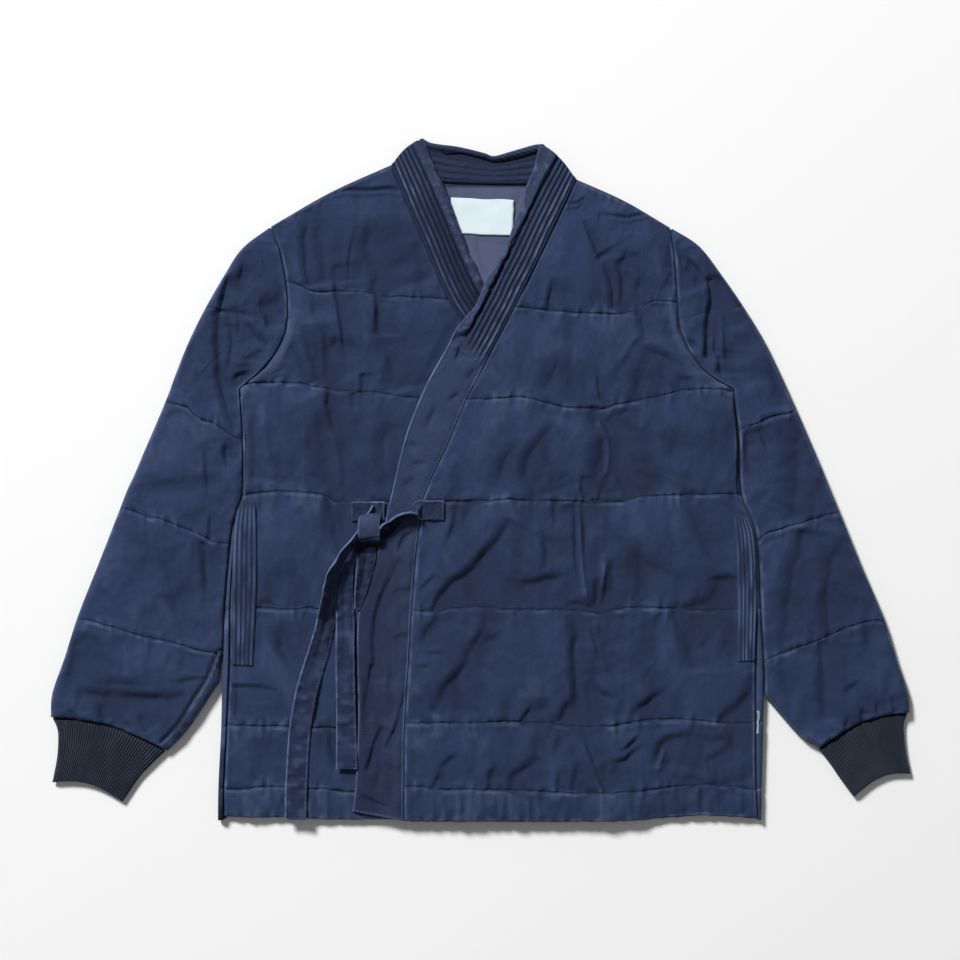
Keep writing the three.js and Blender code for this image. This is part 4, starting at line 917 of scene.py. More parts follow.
SLEEVE_MID = 5.3
SLEEVE_LENGTH, SLEEVE_WIDTH = 560.0, 150.0
SLEEVE_START = 0.004
SLEEVE_LINES = np.array([0.165, 0.36, 0.6, 0.82, 1.0])
SLEEVE_FOLDS = numbers("""
# right sleeve, cap and outer side
6 2.4 .5 .7 -266 210 -269 192 -272 176
6 1.9 .7 .4 -275 172 -275 140 -273 110 -270 88 -264 68 -258 52
4 1.1 .3 .3 -248 222 -252 206
9 2.6 .4 .5 -246 178 -242 162 -231 152 -220 145
5 3.2 .4 1 -230 178 -223 172 -221 161
2.4 1.1 .5 .3 -252 172 -251 150
2.4 1 .4 .4 -246 160 -246 142
4 -1.1 .2 .2 -264 164 -254 162 -246 154 -240 142
2.6 1.2 .3 .4 -236 133 -222 134
2.6 1.3 .2 .5 -246 127 -236 129 -222 127
2.6 1.3 .2 .5 -252 119 -240 121 -228 118
3 1.8 1 .6 -254 104 -252 111 -244 113 -234 111
4 3 .6 1 -255 106 -253 95 -249 84
4 1.4 .8 .2 -251 84 -247 62 -244 48
4 1.2 .3 .3 -263 166 -259 140 -263 112
5 1.5 .3 .3 -267 40 -265 14
3 .9 .3 .3 -286 30 -284 -14
4 1.2 .2 1 -281 -34 -282 -60
6 1.6 .6 .3 -290 -66 -288 -94 -288 -124
12 1 .2 .2 -346 2 -344 -22
13 1 .3 .2 -352 -60 -354 -100
10 .9 .2 .2 -330 -90 -318 -140
9 .9 .3 .3 -304 150 -316 96
26 1.2 .3 .5 -262 226 -256 190 -240 150
# right sleeve, above the cuff
8 2.4 .4 .5 -412 -216 -390 -220 -360 -222 -330 -222 -308 -220
8 1.2 .3 .2 -404 -205 -372 -206 -344 -208
2.6 1 .3 .3 -318 -208 -300 -205 -284 -204
3 1.3 .3 1 -424 -236 -415 -246
3 1.2 .2 1 -398 -236 -389 -249
3 1.3 .2 1 -388 -238 -379 -251
3 1.2 .2 1 -373 -242 -363 -255
3 1.2 .2 1 -356 -246 -347 -260
9 1.2 .4 .4 -422 -160 -434 -222
# left sleeve, cap
4 2.6 .2 .7 210 231 219 228 228 218 234 204
4 2.8 .7 1 234 206 239 190 236 176 233 158 233 144 232 128
5 3 .2 .8 247 214 248 196 250 184 254 172 258 160
8 2.4 .7 .4 254 174 260 166 262 158
3 2 .2 .8 242 170 243 150 242 134
3 -1.3 .3 .3 250 168 251 136 252 110
5 2.6 .4 1 247 132 246 112
12 1.7 .4 .6 256 156 257 130 258 104
30 1.8 .3 .5 222 232 230 200 234 165 240 128
3 1.3 .4 .4 198 238 207 251
3 1.2 .4 .3 204 234 208 224
3 1.1 .3 .3 217 148 227 138
10 1.5 .3 .3 270 60 271 28 275 -4
# left sleeve, arm
11 1.2 .2 .8 300 134 298 110 305 78
20 2 .6 .6 318 60 318 30 315 0 312 -36
3 1 .4 .3 289 50 297 27
14 1.7 .9 .5 325 -56 322 -75 315 -95 312 -120 308 -150 305 -174
11 1.6 .4 .8 374 -56 360 -75 355 -100 353 -120 354 -140 355 -164
10 2 .9 .4 350 -172 350 -200 350 -224 352 -246
4 1.2 .3 .3 391 -207 375 -219
7 .9 .8 .2 394 -154 400 -176
11 .9 .3 .3 306 -196 316 -236
3 1.2 .2 1 424 -224 428 -240
3 1.1 .2 1 409 -228 411 -245
3 1.1 .2 1 394 -236 394 -252
3 1.1 .2 1 378 -244 376 -262
""")
UNDERARM_SEAM = runs("""
-263 -180 -267.5 -175.7 -271.5 -177.4 -274.4 -182.6 -281.4 -201 -286 -210 -291.8 -218.5 -297 -225 -305 -240 -315 \
-255 -325 -265 -331 -271
""")[0]  # fmt: skip
# How far each stitched line rises above a straight way across, at shares of the way from the outer fold inwards.
SLEEVE_RISES = {
    "right": runs("""
0 0 1 0
0 0 .11 1.4 .29 4.4 .38 1.2 .49 -.4 .63 2 .76 .5 .87 -1.2 1 0
0 0 .12 .2 .25 0 .38 1.8 .52 .6 .65 .4 .78 -1.7 .85 -3.5 1 0
0 0 .12 1.5 .22 .3 .32 -1 .49 -1.7 .63 -.7 .73 -1 .83 -2 1 0
0 0 .2 5 .5 9 .8 5 1 0
"""),
    "left": runs("""
0 0 1 0
0 0 .04 -4 .31 .2 .5 2 .69 1.8 .94 5 1 2
0 0 .15 2 .34 3 .52 5 .7 6 .88 7 1 3
0 0 .08 4 .2 6 .32 6 .48 3.7 .64 2 .8 2 .95 1 1 0
0 0 .2 5 .5 9 .8 5 1 0
"""),
}
SLEEVES = {
    "right": (UNDER_FRONT, "left_", table("at out_x out_y in_x in_y", """
0 -217 263 -217 263
.06 -247 240 -208 235
.11 -265 213 -201.5 200
.165 -284 180 -201 160
.23 -301 146 -214 128
.28 -313 117 -249.8 94
.36 -326 82 -247 42
.48 -350 26 -248.2 -12
.525 -358.5 6 -252.6 -31
.56 -366 -10 -257.6 -48
.6 -373 -28 -260 -66
.7 -394 -82 -264.6 -119
.82 -418 -143 -267.6 -180
.88 -431 -184 -270.5 -210
.95 -444 -222 -303 -259
1 -445.5 -246 -324 -281
""")),
    "left": (OVER_FRONT, "right_", table("at out_x out_y in_x in_y", """
0 197.5 262 197.5 261
.06 228 242 201.5 238
.11 252 211 203.5 204
.165 272 182 207 166
.23 293 148 222 124
.28 307 120 264.5 92
.36 327 76 269.8 47
.48 352 18 271.6 -12
.52 359 1 276.8 -28
.56 366 -16 285.2 -47
.6 373 -33 288.8 -66
.7 395 -87 291 -118
.82 420 -146 295 -187
.88 432 -185 295 -224
.95 444 -221 332 -266
1 446 -241 351 -278
""")),
}  # fmt: skip


def sleeve_plan(side, armhole_rows, armhole_side, rows, us, vs, seed):
    """Places over a sleeve and the width of each row, from the outer fold to the armhole and the inner fold."""
    out = 1 if side == "left" else -1
    at_lines = [0, *SLEEVE_LINES]
    outer, inner = edge(rows, "out_", vs), edge(rows, "in_", vs, [0.28, 0.88])
    # Down to the underarm, the inner edge is the armhole seam itself.
    inner_y = inner[:, 1] + np.interp(vs, at_lines, [0] + [rise[-1, 1] for rise in SLEEVE_RISES[side]])
    seam = edge(armhole_rows, armhole_side, np.linspace(UNDERARM, 1, 200), [UNDERARM])
    on_seam = np.stack([np.interp(inner_y, seam[:, 1], seam[:, 0]) - out * 0.2, inner[:, 1]], -1)
    fold = edge(SIDE_FOLD, armhole_side, np.linspace(0, UNDERARM, 200))
    by_side = np.interp(inner_y, fold[:, 1], fold[:, 0]) - out * 0.25
    below_arm = smooth((vs - 0.27) / 0.02)
    inner[:, 0] = mix(inner[:, 0], by_side, below_arm * smooth((0.84 - vs) / 0.03))
    inner = mix(on_seam, inner, below_arm[:, None])
    start, end = (outer, inner) if side == "right" else (inner, outer)
    plan = mix(start[:, None], end[:, None], us[None, :, None])
    inwards = us if side == "right" else 1 - us
    levels = [0 * us]
    for k, rise in enumerate(SLEEVE_RISES[side]):
        levels.append(along(*rise.T, inwards) + 0.4 * noise(us * SLEEVE_WIDTH, 0 * us, 5, 1, seed + k) * (0 < k < 4))
    plan[..., 1] += np.swapaxes([np.interp(vs, at_lines, column) for column in np.stack(levels).T], 0, 1)
    return plan, np.linalg.norm(end - start, axis=1)


def sleeve(side, seed):
    """A flattened tube. Its rows run from the outer fold to the armhole seam, and below that to the inner fold."""
    name = f"sleeve_{side}_cloth"
    out = 1 if side == "left" else -1
    lines, facts = SLEEVE_LINES, (side, *SLEEVES[side])
    coarse_u, coarse_v = np.linspace(0, 1, 34), coarse_stops([SLEEVE_START, *lines], 4.8, SLEEVE_LENGTH)
    plan, width = sleeve_plan(*facts, coarse_u, coarse_v, seed)
    from_line = abs(above_line(coarse_v, lines, SLEEVE_LENGTH))
    full = np.sqrt(np.clip(from_line / 50, 0, 1))[:, None] * np.sin(np.pi * coarse_u)[None]
    lumps = 0.5 * noise(plan[..., 0], plan[..., 1], 12, 22, seed)
    vs = np.maximum(stops(SLEEVE_LENGTH, 2.0, lines, near=(0.6, 1.2, 2.0, 3.1)), SLEEVE_START)
    vs = vs[np.concatenate([[True], np.diff(vs) > 1e-4])]
    us = stops(SLEEVE_WIDTH, 2.0, ends=(0.5, 1.2, 2.2, 3.6))
    moved = settled_shift(
        name + "_coarse", plan, 3.0 * full + lumps, lumps, lines, (coarse_u, coarse_v), (us, vs), 0.014, width < 24
    )
    plan, width = sleeve_plan(*facts, us, vs, seed)
    width = width[:, None]
    x, y = plan[..., 0], plan[..., 1]
    above = -above_line(vs, lines, SLEEVE_LENGTH)[:, None] + 0 * x
    edge_gap = np.minimum(us, 1 - us)[None] * width
    # The topmost line is drawn tight only towards the outer fold.
    topmost = (abs(vs[:, None] - lines).argmin(1) == 0)[:, None]
    tight = np.where(topmost, mix(0.12, 1, smooth((out * x - 258) / 10)), 1.0)
    pleats = seam_relief(x, y, above, seed + 3) * tight
    folds = fold_relief(x, y, SLEEVE_FOLDS) * smooth(edge_gap / 7)
    relief = folds + pleats + crumpled(x, y, seed + 7)
    sewn_line = pale = strip_shade = 0 * x
    if side == "right":
        off, run, length = beside_run(x, y, UNDERARM_SEAM)
        on_run = smooth(run / 4 + 1) * smooth((length - run) / 4 + 1)
        lumpy = noise(run, off, 4.5, 4, seed + 9)
        sewn_line = bell(off / 1.9) * on_run
        relief += (bell((-off - 6) / 5) * (0.3 + 1.5 * lumpy) + bell((-off - 2.5) / 1.2)) * on_run
        relief -= 3.6 * sewn_line
        pale = bell((-off - 3.6) / 1.2) * on_run
        strip_shade = smooth((-off - 1) / 2) * (0.3 + 0.5 * lumpy) * on_run
    from_cuff = (1 - vs)[:, None] * SLEEVE_LENGTH
    relief += 1.1 * (bell(from_cuff / 26) * noise(us[None] * width, 0 * y, 8, 30, seed + 5))
    crown = eased_up(8.6 + 0.55 * np.maximum(moved[..., 2], -1.5) + relief, 1.8, 1.5)
    ending = np.minimum(np.clip(width / 40, 0.12, 1), mix(0.55, 1, rounded(from_cuff, 7)))
    # The outer edge is a full fold, and the inner one lies tight against the body.
    inner_gap = (us if side == "left" else 1 - us)[None] * width
    in_armhole = smooth((0.3 - vs) / 0.02)[:, None]
    inner_side = rounded(inner_gap, mix(8.5, 3.6, smooth((0.86 - vs) / 0.06))[:, None])
    by_body = np.maximum(in_armhole, 0.7 * smooth((0.52 - vs) / 0.06)[:, None])
    inner_side = mix(inner_side, mix(0.5, 1, rounded(inner_gap, 5.0)), by_body)
    shoulder = np.minimum(rounded(width - inner_gap, 8.5), inner_side)
    top_z = SLEEVE_MID + (crown - 1.4) * shoulder * ending
    bottom_z = np.maximum(0, mix(0.15 - 0.8 * np.minimum(pleats, 0), SLEEVE_MID, 1 - rounded(edge_gap, 6.0)))
    bottom_z = mix(SLEEVE_MID, bottom_z, ending)
    inward = smooth(edge_gap / 8)
    top = np.dstack([x + moved[..., 0] * inward, y + moved[..., 1] * inward, top_z])
    flat = np.dstack([us[None] * width, np.broadcast_to(vs[:, None] * SLEEVE_LENGTH, x.shape)])
    beneath = slice(-2, 0, -3)
    flat_under = flat[:, beneath].copy()
    flat_under[..., 0] = 2 * width - flat_under[..., 0]
    rim = bell((edge_gap - 1.6) / 1.2) * (0.2 + 0.3 * noise(x, y, 6, 9, seed + 4)) * (width > 30)
    ridge = stitched_ridges(x, y, above, seed) * tight
    # Pale share: rubbed rims and crests, painted highlights, and paler where the relief stands up.
    wear = np.clip(np.maximum(ridge, rim) + 0.1 * smooth(relief) + 0.3 * pale, 0, 1)
    # Painted shade in the pleats, down the folds and on the strip beside the underarm seam, with the dark stitched
    # lines.
    shadow = line_shadow(x, y, above, folds, pleats, seed)
    shadow = mix(shadow - bell(above / 0.7) * 0.7, shadow, tight)
    shadow = np.clip(shadow + 1.4 * sewn_line + strip_shade + 0.5 * bell(inner_gap / 1.1) * in_armhole, 0, 1.4)
    points = np.concatenate([top, np.dstack([x, y, bottom_z])[:, beneath]], 1)
    wear, groove = (np.concatenate([share, share[:, beneath] * 0.8], 1) for share in (wear, shadow))
    tube = cloth_object(name, points, np.concatenate([flat, flat_under], 1), wear, groove, ring=True)
    dressed(tube, QUILTED, "quilted_cloth", f"sleeve_{side}")
    return tube


sleeves = {"right": sleeve("right", seed=100), "left": sleeve("left", seed=140)}

# ---------------------------------------------------------------- cuffs
# Rib-knit tubes in a darker yarn, sewn to the gathered end of each sleeve. Their ribs run down the wrist and draw
# together towards its edge, which is the fold of the doubled knit.

CUFF_MID = 4.2
CUFF_RIBS = 40
CUFF_LENGTH, CUFF_FLAT = 70.0, 118.0
CUFFS = {
    "right": table("at out_x out_y in_x in_y", """
0 -443.5 -247.5 -327 -281.5
.12 -439.8 -255 -333.5 -287.5
.25 -438 -264 -341 -295
.6 -439 -287 -354 -309
1 -444 -314 -371 -334
"""),
    "left": table("at out_x out_y in_x in_y", """
0 443.5 -242 352 -279.5
.2 440 -254 361 -291
.6 442 -281 374 -310
1 447 -305 388 -329
"""),
}  # fmt: skip

rib_yarn, node = new_finish("rib_knit")
cut = node.cut()
stitch_scale = node("ShaderNodeMapping", {"Vector": cut, "Scale": (900.0, 650.0, 1.0)})
stitches = node("ShaderNodeTexVoronoi", {"Vector": stitch_scale.outputs[0], "Scale": 1.0})
fuzz, drift = node.noise(cut, 420.0, 4.0), node.noise(cut, 26.0, 3.0)
yarn = node.mixed(drift, shade("0f151e"), shade("1e2634"))
yarn = node.mixed(node.maths("MULTIPLY", fuzz, 0.35), yarn, shade("262d3b"))
# The pale share paints highlights on the rib crests, and the dark share paints shade in the troughs between them.
yarn = node.mixed(node.mask("wear"), yarn, shade("566078"))
yarn = node.mixed(node.maths("MULTIPLY", node.mask("groove"), 0.8), yarn, (0.003, 0.004, 0.007, 1))
node.surface({
    "Base Color": yarn, "Roughness": 0.92, "Sheen Weight": 0.2, "Sheen Tint": (0.6, 0.65, 0.75, 1),
    "Specular IOR Level": 0.15,
}, node.maths("ADD", stitches.outputs["Distance"], fuzz), 0.5, 0.0004)  # fmt: skip

for side, rows in CUFFS.items():
    us, vs = np.linspace(0, 1, 6 * CUFF_RIBS + 1)[None], stops(CUFF_LENGTH, 2.4, ends=(0.5, 1.2, 2.2, 3.4))
    outer, inner = edge(rows, "out_", vs), edge(rows, "in_", vs)
    start, end = (outer, inner) if side == "right" else (inner, outer)
    vs = vs[:, None]
    plan = mix(start[:, None], end[:, None], us[..., None])
    plan[..., 1] += 9 * np.sin(np.pi * us) - 0.5 * (1 - vs) ** 4
    x, y = plan[..., 0], plan[..., 1]
    # Ribs wander a little, and lie flatter where the cuff is stretched.
    wander = 0.22 * noise(us * 12, vs * 3, 1.4, 1.1, 300) * np.sin(np.pi * us)
    rib = 0.5 + 0.5 * np.cos(2 * np.pi * (us * CUFF_RIBS + wander))
    middle, spread = (0.42, 0.1) if side == "right" else (0.8, 0.24)
    stretched = 1 - 0.72 * bell((us - middle) / spread)
    to_wrist = (1 - vs) * CUFF_LENGTH
    depth = 0.95 * stretched * mix(0.5, 1, rounded(to_wrist, 3))
    edge_gap = np.minimum(us, 1 - us) * np.linalg.norm(end - start, axis=1)[:, None]
    ends = mix(0.5, 1, rounded(np.minimum(vs, 1 - vs) * CUFF_LENGTH, 3.2))
    swell = 0.7 * noise(x, y, 26, 30, 310)
    top_z = CUFF_MID + (3.6 + swell + depth * (rib**0.7 - 0.6)) * rounded(edge_gap, 5.5) * ends
    bottom_z = np.maximum(0.05, CUFF_MID - 4.1 * rounded(edge_gap, 4.5) * ends + 0.5 * (1 - rib))
    # Painted highlight on the rib crests and painted shade in the troughs; the seam at the sleeve's end is dark of
    # itself.
    wear = np.clip(np.clip(rib - 0.55, 0, 1) * 1.2 * stretched * (0.7 + 0.3 * noise(x, y, 5, 11, 320)), 0, 1)
    groove = (1 - rib) ** 2 * stretched + bell(vs * CUFF_LENGTH / 0.8)
    flat = np.dstack([us * CUFF_FLAT + 0 * x, vs * CUFF_LENGTH + 0 * x])
    points, under = np.dstack([x, y, top_z]), np.dstack([x, y, bottom_z])
    sides = ((points, under), (flat, flat), (wear, wear), (groove, groove))
    points, flat, wear, groove = (np.concatenate([top, low[:, -2:0:-1]], 1) for top, low in sides)
    # The knit turns in at the wrist, so the opening shows its inside, and its other end is tucked into the sleeve.
    lip, tucked = points[-1:].copy(), points[:1].copy()
    inside = points[[np.argmin(abs(to_wrist - 14))]]
    for ring, share in ((lip, 0.55), (inside, 0.7), (tucked, 0.75)):
        ring[..., 2] = mix(ring[..., 2], CUFF_MID, share)
    tucked[..., 0] = mix(tucked[..., 0], tucked[..., 0].mean(), 0.03)
    tucked[..., 1] += 3.6
    cuff = cloth_object(
        f"cuff_{side}_knit", np.concatenate([tucked, points, lip, inside]),
        np.concatenate([flat[:1] - [0, 4], flat, flat[-1:] + [0, 2], flat[-1:] + [0, 16]]),
        *(np.concatenate([m[:1], m, m[-1:] * 0.5, m[-1:] * 0.5 + 0.4]) for m in (wear, groove)), ring=True,
    )  # fmt: skip
    dressed(cuff, rib_yarn, "rib_knit", f"cuff_{side}")

# ---------------------------------------------------------------- collar and front bands
# One long strip goes round the neck and down both fronts. Round the neck it is stitched in close channels beside a
# smooth rolled edge, and from the crossing to the hem it is plain, and has crumpled in the wash.

COLLAR_END = 0.69
COLLAR_LOW = 7.6
RIB = 5.3
RIBBED, RIBBED_SHARE = 29.2, 0.72  # the width of the ribs, and their share of the mesh across
COLLAR_SCALE = 730.0  # the length that the whole neckline would have at the collar's slant
# The last colour is rubbed cloth's, and the pale share also paints highlights in it.
BAND = cotton("band_cloth", "1d2640", "2b3754", "687aa0", bump=0.45)

CREASES = numbers("""
5 1.9 .3 .8 -89 -84 -96 -104 -105 -124 -110 -144 -112 -165 -111 -186 -113 -204
2.6 2 .6 .4 -114 -194 -117 -220 -118 -246
5 1.2 .2 .4 -103 -160 -97 -184 -93 -200 -97 -212
2.4 1.6 .8 .4 -71 -112 -85 -114 -96 -122
2.4 1.4 .8 .3 -75 -160 -84 -161 -92 -166
2.4 1.4 .8 .3 -75 -186 -82 -190 -89 -195
3 2.2 .4 .5 -79 -224 -84 -245 -90 -260 -98 -276
3 2.2 .5 .5 -103 -257 -110 -272 -114 -288 -118 -298
6 1.2 .3 .3 -112 -234 -106 -248 -98 -258
5 1 .3 .3 -106 -286 -108 -318
5 .9 .3 .3 -96 -300 -93 -334
2.4 1 .3 .3 -122 -325 -108 -332 -94 -338
3 1.3 .6 .3 -71 -52 -80 -58 -86 -72
3 1 .3 .3 -120 -206 -122 -240 -121 -272
5 1 .2 .2 -86 -130 -84 -156
2.6 .9 .3 .3 -72 20 -56 18
3 .9 .3 .3 -76 40 -62 36
5 .8 .3 .3 -58 56 -48 78
4 .9 .3 .3 -22 92 -34 84
5 .9 .3 .3 -6 118 -18 104
4 2.4 .5 .3 -27 149 -18 152 -9 157 -3 162
2.4 1.2 .6 .2 -29 147 -22 146
3 1.3 .3 .5 -20 139 -26 126
6 -1 .3 .3 -27 143 -25 133
5 .7 .3 .3 -82 -4 -68 4
""")


def ribbing(across):
    """The height of close channels, a rib apart, across a strip, and how deep each place lies in a groove."""
    rib = 1 - abs(2 * ((across / RIB + 0.5) % 1) - 1) ** 2.4
    return rib, (1 - rib) ** 1.4


def strip_plan(outer, inner, us):
    return mix(outer[:, None], inner[:, None], us[None, :, None])


def plain_strip(x, y, from_seam, from_edge, seed):
    """The height of a plain strip, which has crumpled in the wash."""
    border = np.minimum(from_seam, from_edge)
    loose = mix(0.35, 1, smooth((-40 - y) / 60))
    height = 3.0 + 1.1 * smooth(border / 8) * loose + fold_relief(x, y, CREASES) * smooth(border / 3)
    crumples = 0.6 * noise(x, y, 6, 26, seed) + 0.4 * noise(x + y * 0.5, y, 5, 13, seed + 1)
    height += loose * crumples * smooth(border / 4)
    height += 0.35 * noise(x, y, 12, 7, seed + 2) * bell((border - 4) / 5)
    # Topstitching holds the seam side and the free edge down.
    height -= 0.45 * bell((from_seam - 2.4) / 0.9) + 0.45 * bell((from_edge - 2.6) / 0.9)
    return np.maximum(height, 1.0) * mix(0.35, 1, rounded(border, 2.2))


def plain_shares(x, along_it, from_seam, from_edge, seed):
    """Where a plain strip is worn pale, and where it is dark."""
    rub = 0.6 + 0.4 * noise(along_it, x, 9, 50, seed)
    wear = bell(from_edge / 1.5) * rub * 0.9 + 0.35 * bell((from_seam - 0.9) / 1.0) + 0.07 * smooth((x + 130) / 70)
    groove = 0.5 * bell((from_seam - 2.4) / 0.7) + bell(from_seam / 0.5) + 0.35 * bell((from_edge - 2.6) / 0.7)
    groove += 0.22 * smooth((-30 - along_it) / 60)
    return wear, groove


# The collar's two ends, from where they leave the bands. The over one rolls over at its inner edge and leaves a deep
# furrow beside the last rib, painted near black as the roll's shadow.
us = np.concatenate([
    np.linspace(0, RIBBED_SHARE, 89),
    RIBBED_SHARE + (1 - RIBBED_SHARE) * stops(12, 0.5, ends=(0.2, 0.45, 0.8))[1:],
])  # fmt: skip
vs = COLLAR_END + stops((1 - COLLAR_END) * COLLAR_SCALE, 2.2, ends=(0.8, 1.8, 3.2)) * (1 - COLLAR_END)
collar_pieces = []
for side, seam_rows, seam_side, edge_rows in (
    ("over", OVER_FRONT, "left_", OVER_BAND_EDGE),
    ("under", UNDER_FRONT, "right_", UNDER_BAND_EDGE),
):
    over = side == "over"
    seed = 400 if over else 420
    seam = edge(seam_rows, seam_side, vs, [UNDERARM]) + [-GAP if over else GAP, 0]
    free = edge(edge_rows, "", vs)
    # The rolled edge is a little uneven where it turns.
    uneven = (1.8 if over else 1.2) * noise(vs * COLLAR_SCALE, 0 * vs, 13, 1, seed + 6)
    free[:, 0] += uneven * smooth((vs - 0.72) / 0.04)
    whole = np.linalg.norm(free - seam, axis=1)[:, None]
    past_ribs = (us - RIBBED_SHARE) / (1 - RIBBED_SHARE)
    across = np.where(us <= RIBBED_SHARE, us / RIBBED_SHARE * RIBBED, RIBBED + past_ribs * (whole - RIBBED))
    share = across / whole
    plan = mix(seam[:, None], free[:, None], share[..., None])
    # Over the shoulder the fold bulges outwards, and its corner is round.
    outwards = np.array([0.727, 0.687]) if over else np.array([-0.659, 0.753])
    bulge = 3.4 * np.sin(np.pi * share) - 1.0 - 3.0 * smooth((share - 0.84) / 0.16)
    plan += (bulge * smooth((vs[:, None] - 0.94) / 0.06) * smooth(share / 0.1))[..., None] * outwards
    x, y = plan[..., 0], plan[..., 1]
    at = vs[:, None] + 0 * x
    length = (at - COLLAR_END) * COLLAR_SCALE
    from_edge = whole - across
    drift = 0.5 * noise(length, across, 34, 60, seed) * smooth(across / 3)
    rib, groove = ribbing(across + drift)
    edging = smooth((across - RIBBED) / 2.2)
    ribbed = smooth((at - 0.682 - 0.012 * smooth(across / 25)) / 0.03) if over else 1.0 + 0 * x
    open_furrow = bell((at - 0.82) / 0.08)
    jagged = 1.3 * noise(length, 0 * x, 9, 1, seed + 7) + 0.8 * noise(length, 0 * x, 4, 1, seed + 9)
    deep = bell((across - RIBBED - 1.3 - jagged) / mix(1.2, 2.4, open_furrow)) * ribbed
    t = np.clip((across - RIBBED) / (whole - RIBBED), 0, 1)
    roll = np.sin(np.pi * mix(0.25, 1, t)) * edging
    puckers = noise(length + 0.7 * across, across, 4.5, 14, seed + 1) * edging
    height = 2.8 + 1.3 * rib * (1 - edging) + 0.4 * noise(length, across, 26, 22, seed + 2)
    height += edging * (mix(1.2, 0.9, t) + (2.3 if over else 0.4) * roll + (0.8 if over else 1.1) * puckers)
    height -= (3.4 * mix(0.4, 1, open_furrow) if over else 0.7) * deep
    border = np.minimum(np.minimum(across, from_edge), 900 * (1 - at) + 1)
    height *= mix(0.35, 1, rounded(border, 2.4))
    if over:
        down = smooth((x - edge_x(UNDER_BAND_EDGE, y) + 4) / 26)
        low = mix(LAP_LOW, COLLAR_LOW, down) + 0.9 * edging * ribbed
        height = mix(plain_strip(x, y, across, from_edge, 500), height + fold_relief(x, y, CREASES) * edging, ribbed)
    else:
        pressed = smooth((x - edge_x(OVER_BAND_EDGE, y) + 7) / 7)
        low = COLLAR_LOW + 0.9 * edging * (1 - pressed)
        height = mix(height, np.minimum(height, LAP_LOW - COLLAR_LOW - 0.4), pressed)
    # Pale crests on the ribs, strongest by the seam, are partly rubbing and partly painted highlight.
    crest = rib**9 * np.interp(across, (1, 4, 10.6, 15.9, 26.5), (0, 0.62, 0.5, 0.3, 0.16)) * (1 - edging)
    crest *= 0.7 + 0.6 * noise(length, across, 9, 3.4, seed + 3)
    if not over:
        crest *= mix(0.45, 1, smooth((at - 0.9) / 0.06))
    rim = bell(across / 1.4) * 0.1 + bell(from_edge / 1.8) * 0.2 + 0.1 * edging * roll
    specks = np.clip(noise(length, across, 2.4, 2.2, seed + 8) - 0.25, 0, 1) * edging
    plain_wear, plain_groove = plain_shares(x, y, across, from_edge, 504)
    # Painted shade in the rib grooves, deeper on the inner ribs, and in the furrow beside the roll.
    inner_ribs = smooth((across - 6) / 12) * smooth((0.95 - at) / 0.05) * (0.1 if over else 0.4)
    hollow = (0.28 + inner_ribs + 0.62 * groove) * (1 - edging)
    hollow = hollow + deep * (1.3 if over else 0.5) + (0.14 if over else 0.24) * edging
    collar_pieces.append(sheet_object(
        f"collar_{side}", np.dstack([x, y, low + height]), np.dstack([across, length]),
        mix(plain_wear, crest + rim + 0.3 * specks, ribbed), mix(plain_groove, hollow, ribbed),
        level(low.min() - 0.2), inset=3, deepest=1.4, flip=1 if over else None,
    ))  # fmt: skip

# Behind the neck the strip shows its inner face: stitched channels below, and the fold standing at the top.
COLLAR_TOP = table("at x y", """
0 -60 355
.12 -50 350
.3 -22 346
.5 5 339.5
.58 14 336.5
.72 33 341.5
.9 56 348
1 65 349
""")
us = stops(195, 2.2)
vs = np.linspace(0, 1, 64)
sewn = edge(BACK_TOP, "", 0.3 + 0.46 * us, [0.3, 0.76]) + [0, 0.6]
topmost = edge(COLLAR_TOP, "", us)
plan = mix(sewn[None], topmost[None], vs[:, None, None])
x, y = plan[..., 0], plan[..., 1]
up = vs[:, None] + 0 * x
rib, groove = ribbing((up - 0.2) * 5.6 * RIB)
in_rows = smooth((up - 0.02) * 14) * smooth((0.72 - up) * 14)
# Towards the wearer's left the fold opens, and the outer face's slanting ridges show.
opened = smooth((x - 14) / 14) * smooth((up - 0.72) * 9)
slant = 0.5 + 0.5 * np.cos((x * 0.55 + y * 1.1) * 2 * np.pi / 5.0)
sides_only = smooth((abs(x - 4) - 10) / 10)
tucks = noise(x, y, 3.2, 2.6, 452)
height = 4.4 + (0.6 * rib + 0.35 * tucks) * in_rows * sides_only
height = height + 2.2 * bell((up - 0.88) / 0.1) + 1.1 * slant * opened
crossing = 0.79 - 0.05 * np.sin(x / 20) - 0.11 * smooth((-14 - x) / 24) * smooth((x + 44) / 10)
height -= 2.0 * bell((up - crossing) / 0.035) * smooth((x + 44) / 8)
height += 0.4 * noise(x, y, 24, 12, 450)
border = np.minimum(up, 1 - up) * 32
split = bell((up - crossing) / 0.04) * smooth((x + 44) / 8)
# Painted highlight on the slanting ridges; painted shade in their troughs, the rib grooves and the crossing crease.
wear = 0.08 * rib * in_rows + 0.2 * slant**2 * opened + 0.12 * bell((1 - up) * 12)
groove = 0.4 * groove * in_rows * sides_only + (1 - slant) ** 2 * opened + 0.56 + 0.6 * split
flat = np.dstack([x, up * 37])
top_points = np.dstack([x, y, 2.6 + height * mix(0.25, 1, rounded(border, 3.0))])
under_points = np.dstack([x, y, 2.4 * (1 - rounded(border, 3.0)) + 0.02])
collar_pieces += [
    sheet_object("collar_behind", top_points, flat, wear, groove, level(0.3), inset=6),
    cloth_object("collar_beneath", under_points, flat, wear=0.1, flip=1),
]
collar = dressed(joined("collar_cloth", collar_pieces), BAND, "band_cloth", "collar")


